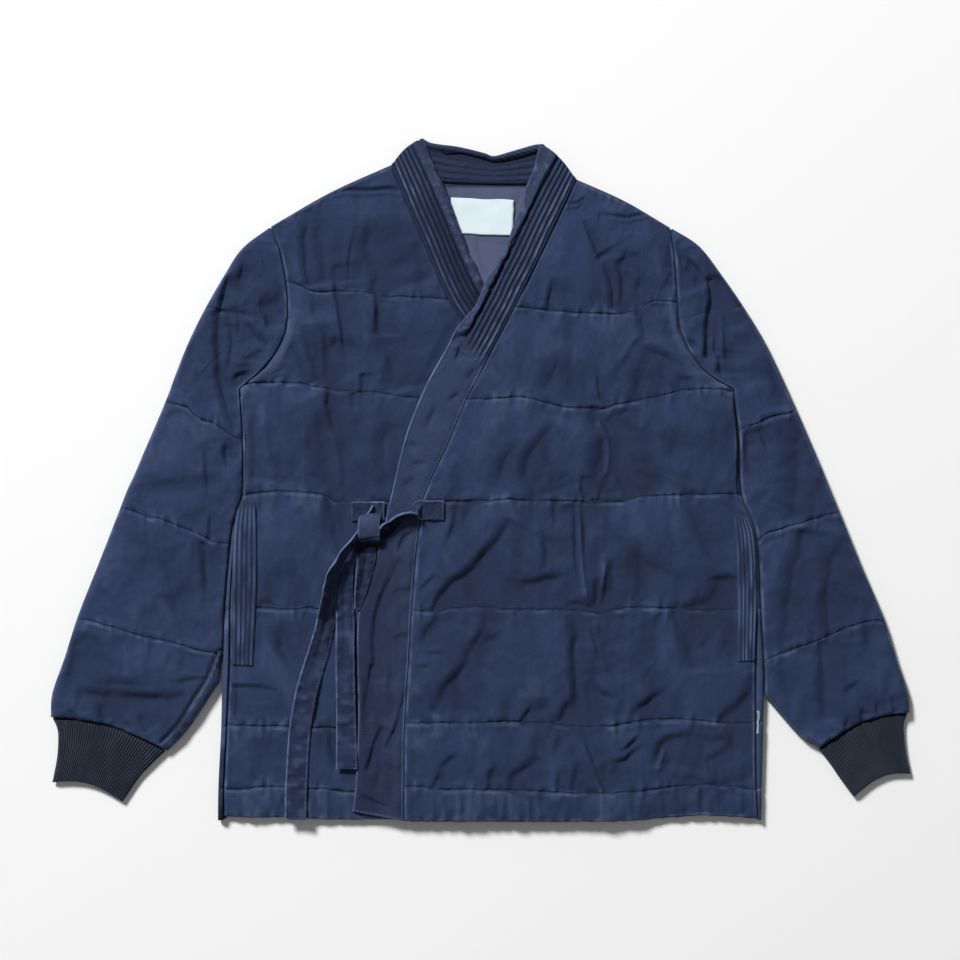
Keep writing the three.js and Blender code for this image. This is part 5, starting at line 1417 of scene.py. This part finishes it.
def band(name, seam_rows, seam_side, edge_rows, low, seed, highest=np.inf):
    """A plain doubled strip from the collar's end to the hem."""
    sign = -1 if seam_side == "left_" else 1
    vs = stops(COLLAR_END * BODY_LENGTH, 1.9, ends=(0.8, 1.8, 3.2)) * (COLLAR_END + 0.0004)
    us = stops(45, 1.1, ends=(0.5, 1.1, 2.0, 3.0))
    seam = edge(seam_rows, seam_side, vs, [UNDERARM]) + [sign * GAP, 0]
    free = edge(edge_rows, "", vs)
    plan = strip_plan(free, seam, us) if seam_side == "left_" else strip_plan(seam, free, us)
    x, y = plan[..., 0], plan[..., 1]
    from_seam, from_edge = (np.linalg.norm(plan - line[:, None], axis=2) for line in (seam, free))
    from_hem = vs[:, None] * BODY_LENGTH + 0 * x
    height = plain_strip(x, y, from_seam, from_edge, seed) * mix(0.35, 1, rounded(from_hem, 2.2))
    points = np.dstack([x, y, low + np.minimum(height, highest)])
    wear, groove = plain_shares(x, y, from_seam, from_edge, seed + 4)
    wear += 0.5 * bell((from_hem - 1.2) / 1.5)
    return sheet_object(name, points, np.dstack([from_edge, from_hem]), wear, groove, level(low - 0.2), inset=4)


over_band = band("front_band_left_cloth", OVER_FRONT, "left_", OVER_BAND_EDGE, LAP_LOW, seed=500)
dressed(over_band, BAND, "band_cloth", "front_band_left")
under_band = band(
    "front_band_right_cloth", UNDER_FRONT, "right_", UNDER_BAND_EDGE, FRONT_LOW, seed=540, highest=PRESSED_WALL - 0.2
)
dressed(under_band, BAND, "band_cloth", "front_band_right")

# ---------------------------------------------------------------- lining and neck label
# A smooth, thin lining in grey violet, sewn in at the neck, shows inside it as far as the fronts' edges. A bare
# woven label with turned-under edges is sewn to it just below the collar.

lining_finish, node = new_finish("lining_cloth")
cut = node.cut()
fine, soft = node.noise(cut, 1400.0, 1.0), node.noise(cut, 30.0, 3.0)
plain = node.mixed(soft, shade("3f4763"), shade("525c7c"))
plain = node.mixed(node.maths("MULTIPLY", node.mask("groove"), 0.7), plain, (0.01, 0.011, 0.02, 1))
inputs = {"Base Color": plain, "Roughness": 0.5, "Sheen Weight": 0.2, "Specular IOR Level": 0.4}
node.surface(inputs, fine, 0.15, 0.0002)

LINING_EDGES = table("at left_x left_y right_x right_y", """
0 -1 188 15 188
.3 -16 222 30 222
.6 -31 257 46 257
1 -46 304 60 304
""")
LINING_FOLDS = numbers("""
6 1.6 .3 .4 -6 248 0 230 6 212
5 1.2 .3 .4 20 244 16 226
6 1 .3 .3 38 302 32 262
6 .9 .3 .3 -34 300 -24 268
""")
vs, us = np.linspace(0, 1, 90), np.linspace(0, 1, 70)
plan = strip_plan(edge(LINING_EDGES, "left_", vs), edge(LINING_EDGES, "right_", vs), us)
x, y = plan[..., 0], plan[..., 1]
z = 6.2 + 0.5 * fold_relief(x, y, LINING_FOLDS) + 0.2 * noise(x, y, 12, 16, 600)
lining = cloth_object("lining_cloth", np.dstack([x, y, np.maximum(z, 5.2)]), plan, groove=0.5 * bell((304 - y) / 2.5))
dressed(lining, lining_finish, "lining_cloth", "lining_back")

tape, node = new_finish("woven_tape")
cut = node.cut()
inputs = {"Vector": cut, "Scale": 520.0, "Distortion": 1.2}
picks = node("ShaderNodeTexWave", inputs, bands_direction="Y").outputs["Fac"]
white = node.mixed(node.noise(cut, 70.0, 4.0), shade("d4e6eb"), shade("e6f4f7"))
white = node.mixed(node.maths("MULTIPLY", picks, 0.12), white, shade("c3ced4"))
white = node.mixed(node.mask("groove"), white, shade("97a3b4"))
inputs = {"Base Color": white, "Roughness": 0.75, "Sheen Weight": 0.1, "Specular IOR Level": 0.3}
node.surface(inputs, picks, 0.4, 0.0002)


def tape_piece(name, left, right, low, high, z, tilt=0.0, waves=0.3, seed=700, painted_shade=0.0):
    """A flat length of woven tape with soft, slightly uneven edges."""
    us, vs = np.linspace(0, 1, 60)[None], np.linspace(0, 1, 40)[:, None]
    x = mix(left, right, us) + 0 * vs + 0.8 * noise(vs * 40, us * 3, 7, 2, seed) * (2 * us - 1)
    y = mix(low, high, vs) + 0 * us + 0.5 * noise(us * 60, vs * 2, 16, 2, seed + 1) * (2 * vs - 1)
    cx, cy = (left + right) / 2, (low + high) / 2
    border = np.minimum(np.minimum(us, 1 - us) * (right - left), np.minimum(vs, 1 - vs) * (high - low))
    points = np.dstack([
        cx + (x - cx) * np.cos(tilt) - (y - cy) * np.sin(tilt),
        cy + (x - cx) * np.sin(tilt) + (y - cy) * np.cos(tilt),
        z + waves * noise(x, y, 14, 11, seed + 2) + 0.25 * rounded(border, 1.2),
    ])  # fmt: skip
    points = turned_in(points, level(z - 0.4), inset=0.6)
    # Darker along the border, and painted shade over the whole piece by the given share.
    groove = np.pad(0.5 * bell((border - 1.2) / 0.4) + painted_shade, 2, mode="edge")
    piece = cloth_object(name, points, points[..., :2], groove=groove)
    return dressed(piece, tape, "woven_tape", name.removesuffix("_tape"))


label = tape_piece("neck_label_tape", -30, 35, 254.5, 291.5, 7.25, tilt=-0.03)

# ---------------------------------------------------------------- pocket welts
# A strip of the band's cloth with wadding in it, stitched in close channels like the collar, and sewn over the mouth
# of each side pocket. It fades into the front at its upper end.

WELT_WIDTH, WELT_LENGTH = 24.0, 170.0
WELTS = {
    "right": table("at left_x left_y right_x right_y", """
0 -256.5 -191.5 -235 -192.5
.5 -256.8 -106 -231 -106
.8 -255.5 -55 -231 -55
1 -250.5 -22.5 -232.5 -22.5
"""),
    "left": table("at left_x left_y right_x right_y", """
0 267 -188 285 -187.5
.5 266.5 -108 287.2 -108
.8 264.5 -58 284 -58
1 262.5 -33 274.5 -33
"""),
}  # fmt: skip


def surface_under(*pieces):
    """Reads the height of the topmost of some pieces at a place (x, y)."""
    graph = bpy.context.evaluated_depsgraph_get()
    trees = [BVHTree.FromObject(piece, graph) for piece in pieces]

    def height(x, y, default=0.0):
        shape = np.broadcast(x, y).shape
        flat_x, flat_y = (np.broadcast_to(v, shape).ravel() for v in (x, y))
        out = np.full(flat_x.size, default)
        down = Vector((0, 0, -1))
        for k, (px, py) in enumerate(zip(flat_x, flat_y)):
            for tree in trees:
                hit = tree.ray_cast(Vector((px * MM, py * MM, 0.2)), down)[0]
                if hit is not None:
                    out[k] = max(out[k], hit.z / MM)
        return out.reshape(shape)

    return height


def softened(values, reach):
    """A running mean along both ways of a grid."""
    for axis in (0, 1):
        values = np.swapaxes(values, 0, axis)
        pad = np.pad(values, ((reach, reach),) + ((0, 0),) * (values.ndim - 1), mode="edge")
        values = np.mean([pad[k : k + len(values)] for k in range(2 * reach + 1)], axis=0)
        values = np.swapaxes(values, 0, axis)
    return values


for side, rows in WELTS.items():
    vs, us = stops(WELT_LENGTH, 2.4), np.linspace(0, 1, 50)
    plan = strip_plan(edge(rows, "left_", vs), edge(rows, "right_", vs), us)
    x, y = plan[..., 0], plan[..., 1]
    under = softened(surface_under(over_front if side == "left" else under_front)(x, y, 9.0), 3)
    rib, groove = ribbing((us[None] * 5 + 0.5) * RIB + 0 * x)
    border = np.minimum(np.minimum(us, 1 - us)[None] * WELT_WIDTH, vs[:, None] * WELT_LENGTH)
    fading = smooth((1 - vs[:, None]) * WELT_LENGTH / 14)
    height = 1.4 + 0.9 * rib + 0.3 * noise(x, y, 20, 18, 720)
    height = height * mix(0.3, 1, rounded(border, 1.6)) * mix(0.1, 1, fading)
    lift = 0.5 * noise(x, y, 30, 50, 730) * smooth(border / 4)
    # Painted highlight on the rib crests and edges, and painted shade in the grooves.
    lit = (rib**3 * (0.16 + 0.2 * noise(x, y, 5, 20, 740)) + 0.12 * bell(border / 1.2)) * fading
    points = np.dstack([x, y, under + 0.3 + height + lift])
    name = f"pocket_welt_{side}"
    welt = sheet_object(name + "_cloth", points, plan, lit, groove * 0.4 * fading, level(6.5), inset=1)
    dressed(welt, BAND, "band_cloth", name)

# ---------------------------------------------------------------- waist ties
# Each tie is a strip folded in four and topstitched along both edges, then boxed and crossed down on its front. The
# two are half knotted: the over tie comes in on edge, and both tails hang down. Washing has roped and rubbed them.

STRAP, STRAP_STOPS = 23.0, 23  # the knot's width, and the places across each side of a strap
HOLLOW_RUN = runs("-131 -69.5 -118 -71 -104.5 -70.5 -98 -61 -93 -50")[0]
over_all = surface_under(over_front, under_front, over_band)


def in_hollow(x, y):
    """How deep a place lies in the dark under the knot's lower rim and along its side by the over tie."""
    off, run, length = beside_run(x, y, HOLLOW_RUN)
    return smooth((5.6 - abs(off)) / 2.4) * smooth(1 + run / 3) * smooth(1 + (length - run) / 5)


def sewn_box(x, y, left, right, low, high):
    """The line of stitches round a box and across it both ways."""
    inner = np.minimum(np.minimum(x - left, right - x), np.minimum(y - low, high - y))
    across, up = (x - left) / (right - left), (y - low) / (high - low)
    cross = bell((across - up) * 12) + bell((across + up - 1) * 12)
    return bell(inner / 0.8) + cross * (inner > 0)


def sideways(path):
    """The unit way to the left of a run of places, and the length of each step along it."""
    ahead = np.gradient(path, axis=0)
    step = np.linalg.norm(ahead, axis=1)
    ahead /= step[:, None]
    return np.stack([-ahead[:, 1], ahead[:, 0]], -1), step


def strap(name, rows, seed, rest, samples, thickness=2.0, shaded=0.0, box=None):
    """A strap along a table of places: width, roll in degrees, lift off what it lies on, and a fold down its middle.
    Its back is painted darker than its front, as shade, and shaded paints shade on its front too."""
    at = np.linspace(0, 1, samples)
    path = edge(rows, "", at)
    width, roll, lift, crease = (along(rows["at"], rows[c], at) for c in ("width", "roll", "lift", "crease"))
    side, step = sideways(path)
    run = np.concatenate([[0], np.cumsum(step[1:])])[:, None]
    across = np.concatenate([np.linspace(0, 1, STRAP_STOPS), np.linspace(1, 0, STRAP_STOPS)[1:-1]])
    top_side = (np.arange(len(across)) < STRAP_STOPS)[None]
    half = width[:, None] * (across - 0.5)[None]
    gap = np.minimum(across, 1 - across)[None] * width[:, None]
    body = rounded(gap + 0.05, 1.3) * thickness / 2
    roped = 0.55 * noise(run + 5 * (across > 0.5), gap * 0, 3.6, 1, seed) * bell((gap - 2.2) / 2.4)
    roped += 0.3 * bell((gap - 1.5) / 1.1)
    rippled = noise(run, half, 6.5, 8, seed + 3)
    up = np.where(top_side, body + roped, -body) + (0.5 * noise(run, half, 16, 9, seed + 1) + 0.8 * rippled)
    up = up - crease[:, None] * bell(half / 3.2) + 0.5 * crease[:, None] * bell((abs(half) - 6) / 3)
    angle = np.radians(roll)[:, None]
    flat = half * np.cos(angle) + up * np.sin(angle)
    rise = -half * np.sin(angle) + up * np.cos(angle)
    x, y = (path[:, [k]] + side[:, [k]] * flat for k in (0, 1))
    spots = np.linspace(-0.5, 0.5, 5)[None] * (width * abs(np.cos(angle[:, 0])))[:, None]
    ground = rest(*(path[:, [k]] + side[:, [k]] * spots for k in (0, 1)), 9.0).max(1)
    ground = np.max([np.roll(ground, k) for k in range(-3, 4)], axis=0)
    ground = softened(ground[:, None], 4)[:, 0]
    points = np.dstack([x, y, (ground + lift - rise.min(1))[:, None] + rise])
    # Close both ends.
    caps = [mix(end, end.mean(1, keepdims=True), 0.97) for end in (points[:1], points[-1:])]
    rub = 0.65 + 0.35 * noise(run, half, 5, 6, seed + 2)
    end_gap = np.minimum(run, run[-1] - run)
    # Painted shadow in the hollow under the knot's lower rim and beside the over tie.
    hollow = 1.5 * in_hollow(x, y)
    wear = (bell((gap - 0.3) / 1.0) + 0.5 * bell(end_gap / 1.4)) * rub + 0.3 * np.clip(roped - 0.3, 0, 1)
    wear += 0.12 * np.clip(rippled, 0, 1)
    # The back side gets painted shade, the front the shaded share; the edge seams and sewn box are dark of
    # themselves.
    groove = 0.4 * bell((gap - 3.2) / 0.7) * (end_gap > 2) + np.where(top_side, shaded, 1.0 * (gap > 1.6))
    groove = groove * np.where(top_side, 1, 1.35) + hollow
    if box is not None:
        groove += 0.55 * sewn_box(x, y, *box) * top_side
        wear *= mix(1, 0.5, smooth((x - box[0] + 3) / 2) * smooth((box[1] + 3 - x) / 2))
    shares = np.clip(wear - hollow, 0, 1), np.clip(groove, 0, 1.6), np.dstack([half, run + 0 * x])
    wear, groove, cut = (np.concatenate([share[:1], share, share[-1:]]) for share in shares)
    points = np.concatenate([caps[0], points, caps[1]])
    return cloth_object(name, points, cut, wear, groove, ring=True, flip=1), run[-1, 0]


# The sewn boxes' left, right, low and high edges.
UNDER_BOX, OVER_BOX = (-131.0, -114.0, -40.8, -24.2), (-56.5, -39.5, -39.8, -22.8)
UNDER_TIE = table("at x y width roll lift crease", """
0 -133 -32.5 20.5 0 .2 0
.5 -118 -32.5 20.5 0 .2 0
1 -99 -32.5 20.5 0 .4 .2
""")
OVER_TIE = table("at x y width roll lift crease", """
0 -37.5 -31.3 20.5 0 .2 0
.27 -58 -31 20.5 0 .2 0
.34 -63 -29.5 20.5 -30 .3 0
.4 -67 -30.4 19 -52 .2 0
.47 -72 -32.4 17.5 -76 .1 0
.56 -78.5 -36.2 16 -97 0 0
.66 -84.6 -41.4 16.5 -124 0 0
.77 -91.1 -46.8 17.5 -134 0 0
.88 -97.4 -52.2 18.5 -138 0 0
1 -102.6 -57.4 17 -138 -2 0
""")
LONG_TAIL = table("at x y width roll lift crease", """
0 -110.8 -26 3 84 1 0
.046 -119.4 -40.5 7 84 .6 0
.094 -126.5 -55.2 12.5 74 0 0
.14 -134.8 -68.4 15.5 62 0 0
.189 -144.1 -82.3 17.5 59 .1 .4
.244 -151.9 -99 20 57 .2 .8
.282 -154.9 -111.6 21 52 .3 1
.342 -157.2 -131.8 22 43 .3 1.2
.404 -160.6 -152.6 22.5 30 .3 1
.467 -165.7 -173.2 22.5 17 .3 .6
.544 -173.5 -198.3 22.5 10 .3 .3
.604 -179.1 -217.7 22.5 4 .3 0
.677 -183.9 -242 22.5 0 .3 0
.734 -186.8 -261.1 22.5 0 .3 0
.821 -188.8 -290.7 22.5 0 .3 0
.909 -190.3 -320.4 22.5 0 .3 0
1 -190.8 -351.2 22.5 0 .3 0
""")
SHORT_TAIL = table("at x y width roll lift crease", """
0 -121 -60 12 20 0 .4
.08 -135 -80 15 14 .2 .8
.2 -140.5 -110 19 6 .3 1.2
.35 -139.5 -142 19.5 2 .3 1
.5 -139.5 -180 20 0 .3 .5
.75 -138.7 -240 20.5 0 .3 .2
1 -137.8 -299 22.5 0 .3 0
""")
# The short tail's free side is folded back behind it, and shows beside it under the knot, in shade painted on it.
FOLDED_SIDE = table("at x y width roll lift crease", """
0 -117 -64 21 0 .2 .6
.3 -118 -84 20 8 .1 1.2
.7 -123 -112 14 12 0 .8
1 -127 -134 6 8 -1 0
""")
under_tie, under_run = strap("tie_right_cloth", UNDER_TIE, 800, over_all, 60, box=UNDER_BOX)
over_tie, over_run = strap("tie_left_cloth", OVER_TIE, 810, over_all, 150, thickness=2.4, box=OVER_BOX)
folded_side, _ = strap("tie_folded_side", FOLDED_SIDE, 826, over_all, 80, shaded=0.5)
below_short = surface_under(under_front, over_band)
short_tail, short_run = strap("tie_short_tail_cloth", SHORT_TAIL, 820, below_short, 200)
below_long = surface_under(under_front, under_tie, short_tail)
long_tail, long_run = strap("tie_long_tail_cloth", LONG_TAIL, 830, below_long, 260, thickness=1.7)
short_tail = joined("tie_short_tail_cloth", [short_tail, folded_side])

# The knot is the over tie's strap, pulled tight over both tails and tucked under at its upper and lower ends.
KNOT_BASE = 21.5
KNOT_MIDDLE = (-112.6, -114.4)  # at its top and below
KNOT_RIM = table("at y z", """
0 -35 -7.5
.1 -34.5 -4
.2 -36.5 .5
.32 -41 4
.5 -48 5.4
.66 -56 4
.78 -62 .5
.88 -66 -4
.94 -66 -7
1 -62 -9.5
""")
at, across = np.linspace(0, 1, 90), np.linspace(0, 1, 33)
ky, kz = (along(KNOT_RIM["at"], KNOT_RIM[c], at)[:, None] for c in ("y", "z"))
half_width = 11.3 - 2.5 * bell(at / 0.22) - 0.4 * bell((at - 0.95) / 0.12)
at, off = at[:, None], (2 * across - 1)[None]
x = mix(*KNOT_MIDDLE, smooth(at * 2.5)) + off * half_width[:, None]
y = ky - 1.6 * off**2 + 0 * x
crown = 1.5 * (1 - off**4) + 0.5 * bell((abs(off) - 0.88) / 0.08)
crease = 0.9 * bell((at - 0.74 - 0.03 * np.sin(across * 5)[None]) / 0.03) + 0.35 * noise(x, at * 60, 7, 6, 840)
gap = np.minimum(across, 1 - across)[None] * STRAP + 0 * x
rubbed_rim = 0.75 * bell(gap / 1.3) * (0.7 + 0.3 * noise(x, y, 5, 5, 841))
# Its lower part, where it turns under, is painted dark as shade, and its rims are rubbed pale.
knot = cloth_object(
    "tie_knot_cloth", np.dstack([x, y, KNOT_BASE + kz + crown - crease]), np.dstack([x, at * 70 + 0 * x]),
    np.clip(rubbed_rim + 0.12, 0, 1) * smooth((0.8 - at) / 0.1),
    np.clip(0.3 * bell((gap - 2.6) / 0.7) + 0.2 + 1.2 * smooth((at - 0.7) / 0.12), 0, 1.6), flip=0,
)  # fmt: skip
thick = knot.modifiers.new("thickness", "SOLIDIFY")
thick.thickness, thick.offset = 2.2 * MM, -1
with bpy.context.temp_override(object=knot):
    bpy.ops.object.modifier_apply(modifier="thickness")

for piece, node_name, width, run, below in (
    (under_tie, "tie_right", 0.021, under_run, [under_front]),
    (over_tie, "tie_left", 0.02, over_run, [over_front, over_band]),
    (short_tail, "tie_short_tail", 0.021, short_run, [under_front]),
    (long_tail, "tie_long_tail", 0.021, long_run, [under_front, short_tail]),
    (knot, "tie_knot", 0.022, 58.0, [long_tail, short_tail]),
):
    dressed(piece, BAND, "band_cloth", node_name)
    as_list(below)

# ---------------------------------------------------------------- side tab
# A small folded length of bare woven tape, caught in the wearer's left side seam near the hem as the seam is sewn.
# It lies flat, only its edge shows, and it is painted darker all over as shade.

tab = tape_piece("side_tab_tape", 286.8, 289.2, -262.5, -239, 11.0, waves=0.15, seed=760, painted_shade=1.0)

# ---------------------------------------------------------------- topstitching
# Navy thread, about three stitches to the centimetre: down both sides of the over band, down both edges of the
# tails, and in a crossed box where each tie is sewn on.

thread, node = new_finish("thread")
twist = node("ShaderNodeTexNoise", {"Scale": 2600.0, "Detail": 2.0}).outputs["Fac"]
strand = node.mixed(twist, shade("232c46"), shade("3f4a68"))
node.surface({"Base Color": strand, "Roughness": 0.6, "Sheen Weight": 0.2})


def thread_object(name, lines, height, pitch=3.4, length=2.5, radius=0.22):
    """Stitches along runs of places: each is a short strand, sunk at its ends."""
    points, quads = [], []
    angles = np.linspace(0, 2 * np.pi, 6, endpoint=False)
    profile = [(-0.5, 0.35, -0.25), (-0.3, 0.9, 0.08), (0.0, 1.0, 0.16), (0.3, 0.9, 0.08), (0.5, 0.35, -0.25)]
    for run in lines:
        run = np.asarray(run, float)
        far = np.concatenate([[0], np.cumsum(np.linalg.norm(np.diff(run, axis=0), axis=1))])
        middles = np.arange(pitch / 2, far[-1], pitch)
        ends = []
        for share in (-0.5, 0.5):
            x, y = (np.interp(middles + share * length, far, run[:, k]) for k in (0, 1))
            ends.append(np.stack([x, y, height(x, y, 5.0)], -1))
        for start, end in zip(*ends):
            ahead = end - start
            if abs(ahead[2]) > 2:
                continue
            ahead /= max(np.linalg.norm(ahead), 1e-6)
            side = np.cross([0, 0, 1], ahead)
            side /= max(np.linalg.norm(side), 1e-6)
            up = np.cross(ahead, side)
            first = len(points)
            for share, fat, lift in profile:
                centre = (start + end) / 2 + ahead * share * length + up * (lift + 0.1)
                points += [centre + (side * np.cos(a) + up * np.sin(a)) * radius * fat for a in angles]
            for ring in range(first, first + 24, 6):
                quads += [(ring + a, ring + (a + 1) % 6, ring + 6 + (a + 1) % 6, ring + 6 + a) for a in range(6)]
    mesh = bpy.data.meshes.new(name)
    mesh.from_pydata((np.array(points) * MM).tolist(), [], quads)
    mesh.shade_smooth()
    mesh.materials.append(thread)
    piece = bpy.data.objects.new(name, mesh)
    bpy.context.collection.objects.link(piece)
    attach(piece, "root")
    return piece


def inset_line(rows, side, at, distance, corners=()):
    """A line of stitches at a distance inside an edge, measured across it."""
    line = edge(rows, side, at, corners)
    return line + distance * sideways(line)[0]


def crossed_box(left, right, low, high):
    """The runs of a sewn box: its four sides, and a cross."""
    sides = [(left, low), (right, low), (right, high), (left, high), (left, low)]
    return [sides, [sides[0], sides[2]], [sides[3], sides[1]]]


low_at = np.linspace(0.004, COLLAR_END - 0.006, 200)
band_lines = [inset_line(OVER_BAND_EDGE, "", low_at, -2.6), inset_line(OVER_FRONT, "left_", low_at, 2.4, [UNDERARM])]
thread_object("stitches_bands", band_lines, surface_under(over_band))
thread_object("stitches_tie_left", crossed_box(*OVER_BOX), surface_under(over_tie), pitch=2.8, length=2.1)
thread_object("stitches_tie_right", crossed_box(*UNDER_BOX), surface_under(under_tie), pitch=2.8, length=2.1)
tail_lines = []
for rows, start in ((LONG_TAIL, 0.45), (SHORT_TAIL, 0.3)):
    at = np.linspace(start, 0.99, 120)
    width = along(rows["at"], rows["width"], at) * np.cos(np.radians(along(rows["at"], rows["roll"], at)))
    path = edge(rows, "", at)
    inwards = (width / 2 - 2.4)[:, None]
    tail_lines += [path + sideways(path)[0] * (way * inwards) for way in (-1, 1)]
thread_object("stitches_tails", tail_lines, surface_under(long_tail, short_tail))

# ---------------------------------------------------------------- floor, lights and camera
# A plain pale floor, a broad soft light from the upper left, a weaker one opposite and an even light all round, and a
# camera straight above.

floor_finish, node = new_finish("floor")
node.surface({"Base Color": (0.93, 0.93, 0.93, 1), "Roughness": 0.9})
bpy.ops.mesh.primitive_plane_add(size=12, location=(0, 0, -0.0005))
floor = bpy.context.object
floor.name = "floor"
floor.data.materials.append(floor_finish)

for name, place, size, power in (
    ("key", (-4.06, 5.84, 5.98), 2.2, 1090.0),
    ("fill", (3.0, -3.6, 3.0), 3.0, 4.0),
):
    lamp = bpy.data.lights.new(name, "AREA")
    lamp.shape, lamp.size, lamp.energy = "DISK", size, power
    light = bpy.data.objects.new(name, lamp)
    light.location = place
    light.rotation_euler = Vector(place).to_track_quat("Z", "Y").to_euler()
    bpy.context.collection.objects.link(light)

world = bpy.data.worlds.new("studio")
world.use_nodes = True
light_all_round = world.node_tree.nodes["Background"].inputs
light_all_round["Color"].default_value, light_all_round["Strength"].default_value = (1, 1, 1, 1), 0.19
bpy.context.scene.world = world
bpy.context.scene.view_settings.view_transform = "Standard"

CAMERA_HEIGHT, VIEW_WIDTH, SENSOR = 2.6, 0.9984, 36.0
camera = bpy.data.cameras.new("camera")
camera.sensor_width = SENSOR
camera.lens = SENSOR * CAMERA_HEIGHT / VIEW_WIDTH
eye = bpy.data.objects.new("camera", camera)
eye.location = (0, 0, CAMERA_HEIGHT)
bpy.context.collection.objects.link(eye)
bpy.context.scene.camera = eye
